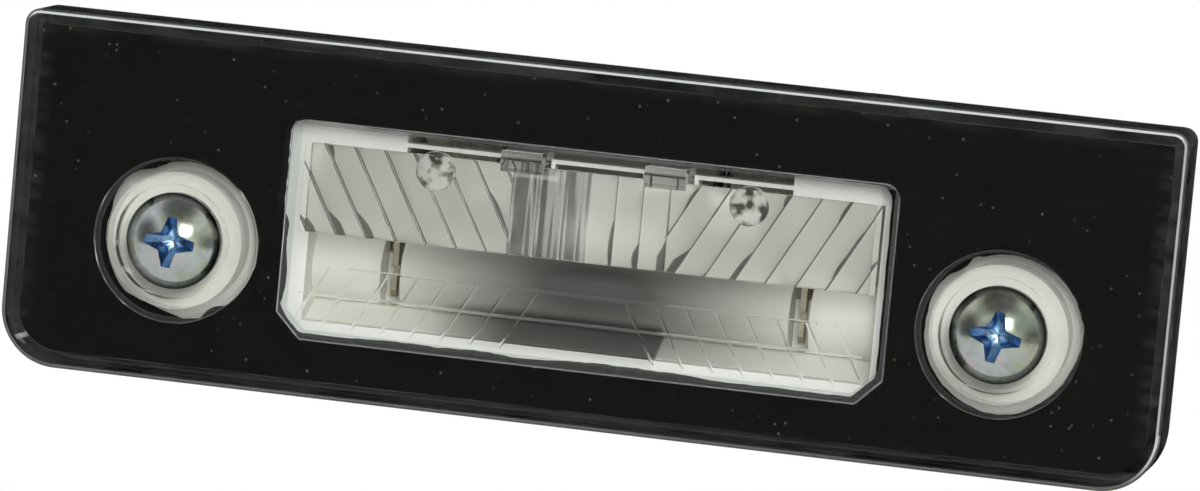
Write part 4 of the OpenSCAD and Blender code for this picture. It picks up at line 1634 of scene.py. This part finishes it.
@dataclass(frozen=True)
class Studio:
    """Pale floor, a white room, one soft light and the dark cards that the clear lens and the screws show."""

    floor_drop: float = 0.12
    floor_radius: float = 0.6
    floor_segments: int = 96
    floor_finish: tuple[Color, float] = ((0.82, 0.82, 0.81), 0.9)
    key_place: Place = (0.22, -0.8, 0.3)
    key_size: float = 0.28
    key_power: float = 2.1
    cards: tuple[Card, ...] = (
        Card("front_card", (-0.19, -0.976, -0.107), 0.8),
        Card("rear_card", (0.0, 1.0, 0.05), 1.7, solid=0.7),
        Card("upper_card", (-0.1, -0.45, 0.9), 0.95, solid=0.5, strength=0.8, through_glass=False),
        Card("left_card", (-0.87, -0.5, 0.05), 0.75, solid=0.4, strength=0.85, through_glass=False),
        Card("right_card", (0.9, -0.42, -0.1), 0.6, solid=0.4, strength=0.7, through_glass=False),
    )

    def floor(self) -> bpy.types.Object:
        """Makes the round floor under the lamp.

        Returns:
            The floor.
        """
        made = disc("floor", self.floor_radius, self.floor_segments)
        made.location = (0, 0, -self.floor_drop)
        recipe = Recipe("pale_floor")
        color, roughness = self.floor_finish
        recipe.set(Base_Color=(*color, 1), Roughness=roughness)
        made.data.materials.append(recipe.material)
        return made

    def world(self) -> None:
        """Fills the world with plain white light."""
        world = bpy.data.worlds.new("room")
        bpy.context.scene.world = world
        world.use_nodes = True
        world.node_tree.nodes["Background"].inputs["Color"].default_value = (1, 1, 1, 1)
        world.node_tree.nodes["Background"].inputs["Strength"].default_value = 1.0

    def lamp(self, name: str, place: Vector, size: float, power: float) -> None:
        """Adds a square soft light that points at the middle of the frame.

        Args:
            name: name of the light.
            place: where it hangs, in metres.
            size: length of its side.
            power: its power in watts.
        """
        data = bpy.data.lights.new(name, "AREA")
        data.size = size
        data.energy = power
        made = bpy.data.objects.new(name, data)
        made.location = place
        made.rotation_euler = place.to_track_quat("Z", "Y").to_euler()
        bpy.context.scene.collection.objects.link(made)

    def build(self) -> None:
        """Sets floor, world, cards and light."""
        self.floor()
        self.world()
        for card in self.cards:
            card.build()
        self.lamp("key", Vector(self.key_place), self.key_size, self.key_power)


@dataclass(frozen=True)
class PhotoCamera:
    """The photograph's camera, as fitted to the plate's outline and the two screw heads."""

    yaw: float = -10.8
    pitch: float = 6.15
    roll: float = -5.3
    across_mm: float = -1.4
    up_mm: float = -0.34
    away_mm: float = 600.0
    focal_px: float = 7360.0
    photo_width_px: float = 1200.0
    sensor_mm: float = 36.0
    clip_start: float = 0.01

    def build(self, frame: Frame) -> bpy.types.Object:
        """Places the camera against the lens's front face.

        Args:
            frame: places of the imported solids.

        Returns:
            The camera.
        """
        turn = (Matrix.Rotation(math.radians(self.roll), 3, "Z")
                @ Matrix.Rotation(math.radians(self.pitch), 3, "X")
                @ Matrix.Rotation(math.radians(self.yaw), 3, "Y"))
        offset = Vector((self.across_mm, self.up_mm, -self.away_mm)) * MM
        upright = Matrix(((1, 0, 0), (0, 0, -1), (0, 1, 0)))
        low, high = frame.gasket
        front = frame.lens[0].y
        middle = Vector(((low.x + high.x) / 2, front, (low.z + high.z) / 2))
        place = middle + upright @ (turn.transposed() @ -offset)
        data = bpy.data.cameras.new("photo_camera")
        data.sensor_width = self.sensor_mm
        data.lens = self.sensor_mm * self.focal_px / self.photo_width_px
        data.clip_start = self.clip_start
        made = bpy.data.objects.new("photo_camera", data)
        made.matrix_world = Matrix.Translation(place) @ (upright @ turn.transposed()).to_4x4()
        bpy.context.scene.collection.objects.link(made)
        bpy.context.scene.camera = made
        return made


def main() -> None:
    """Builds the lamp's looks piece by piece."""
    logging.basicConfig(level=logging.INFO, format="%(name)s: %(message)s")
    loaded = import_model()
    frame = Frame(nodes=loaded["nodes"])
    log.info("carried nodes: %s", ", ".join(CarriedNodes(frame).build()))
    pieces = [Gasket(frame).build()]
    pieces += [Screw(frame, side, turned).build() for side, turned in SCREW_TURNS.items()]
    for piece in pieces:
        log.info("%s: %d faces", piece.name, len(piece.data.polygons))
    Studio().build()
    PhotoCamera().build(frame)
    bpy.context.scene.view_settings.view_transform = "Standard"


if __name__ == "__main__":
    main()
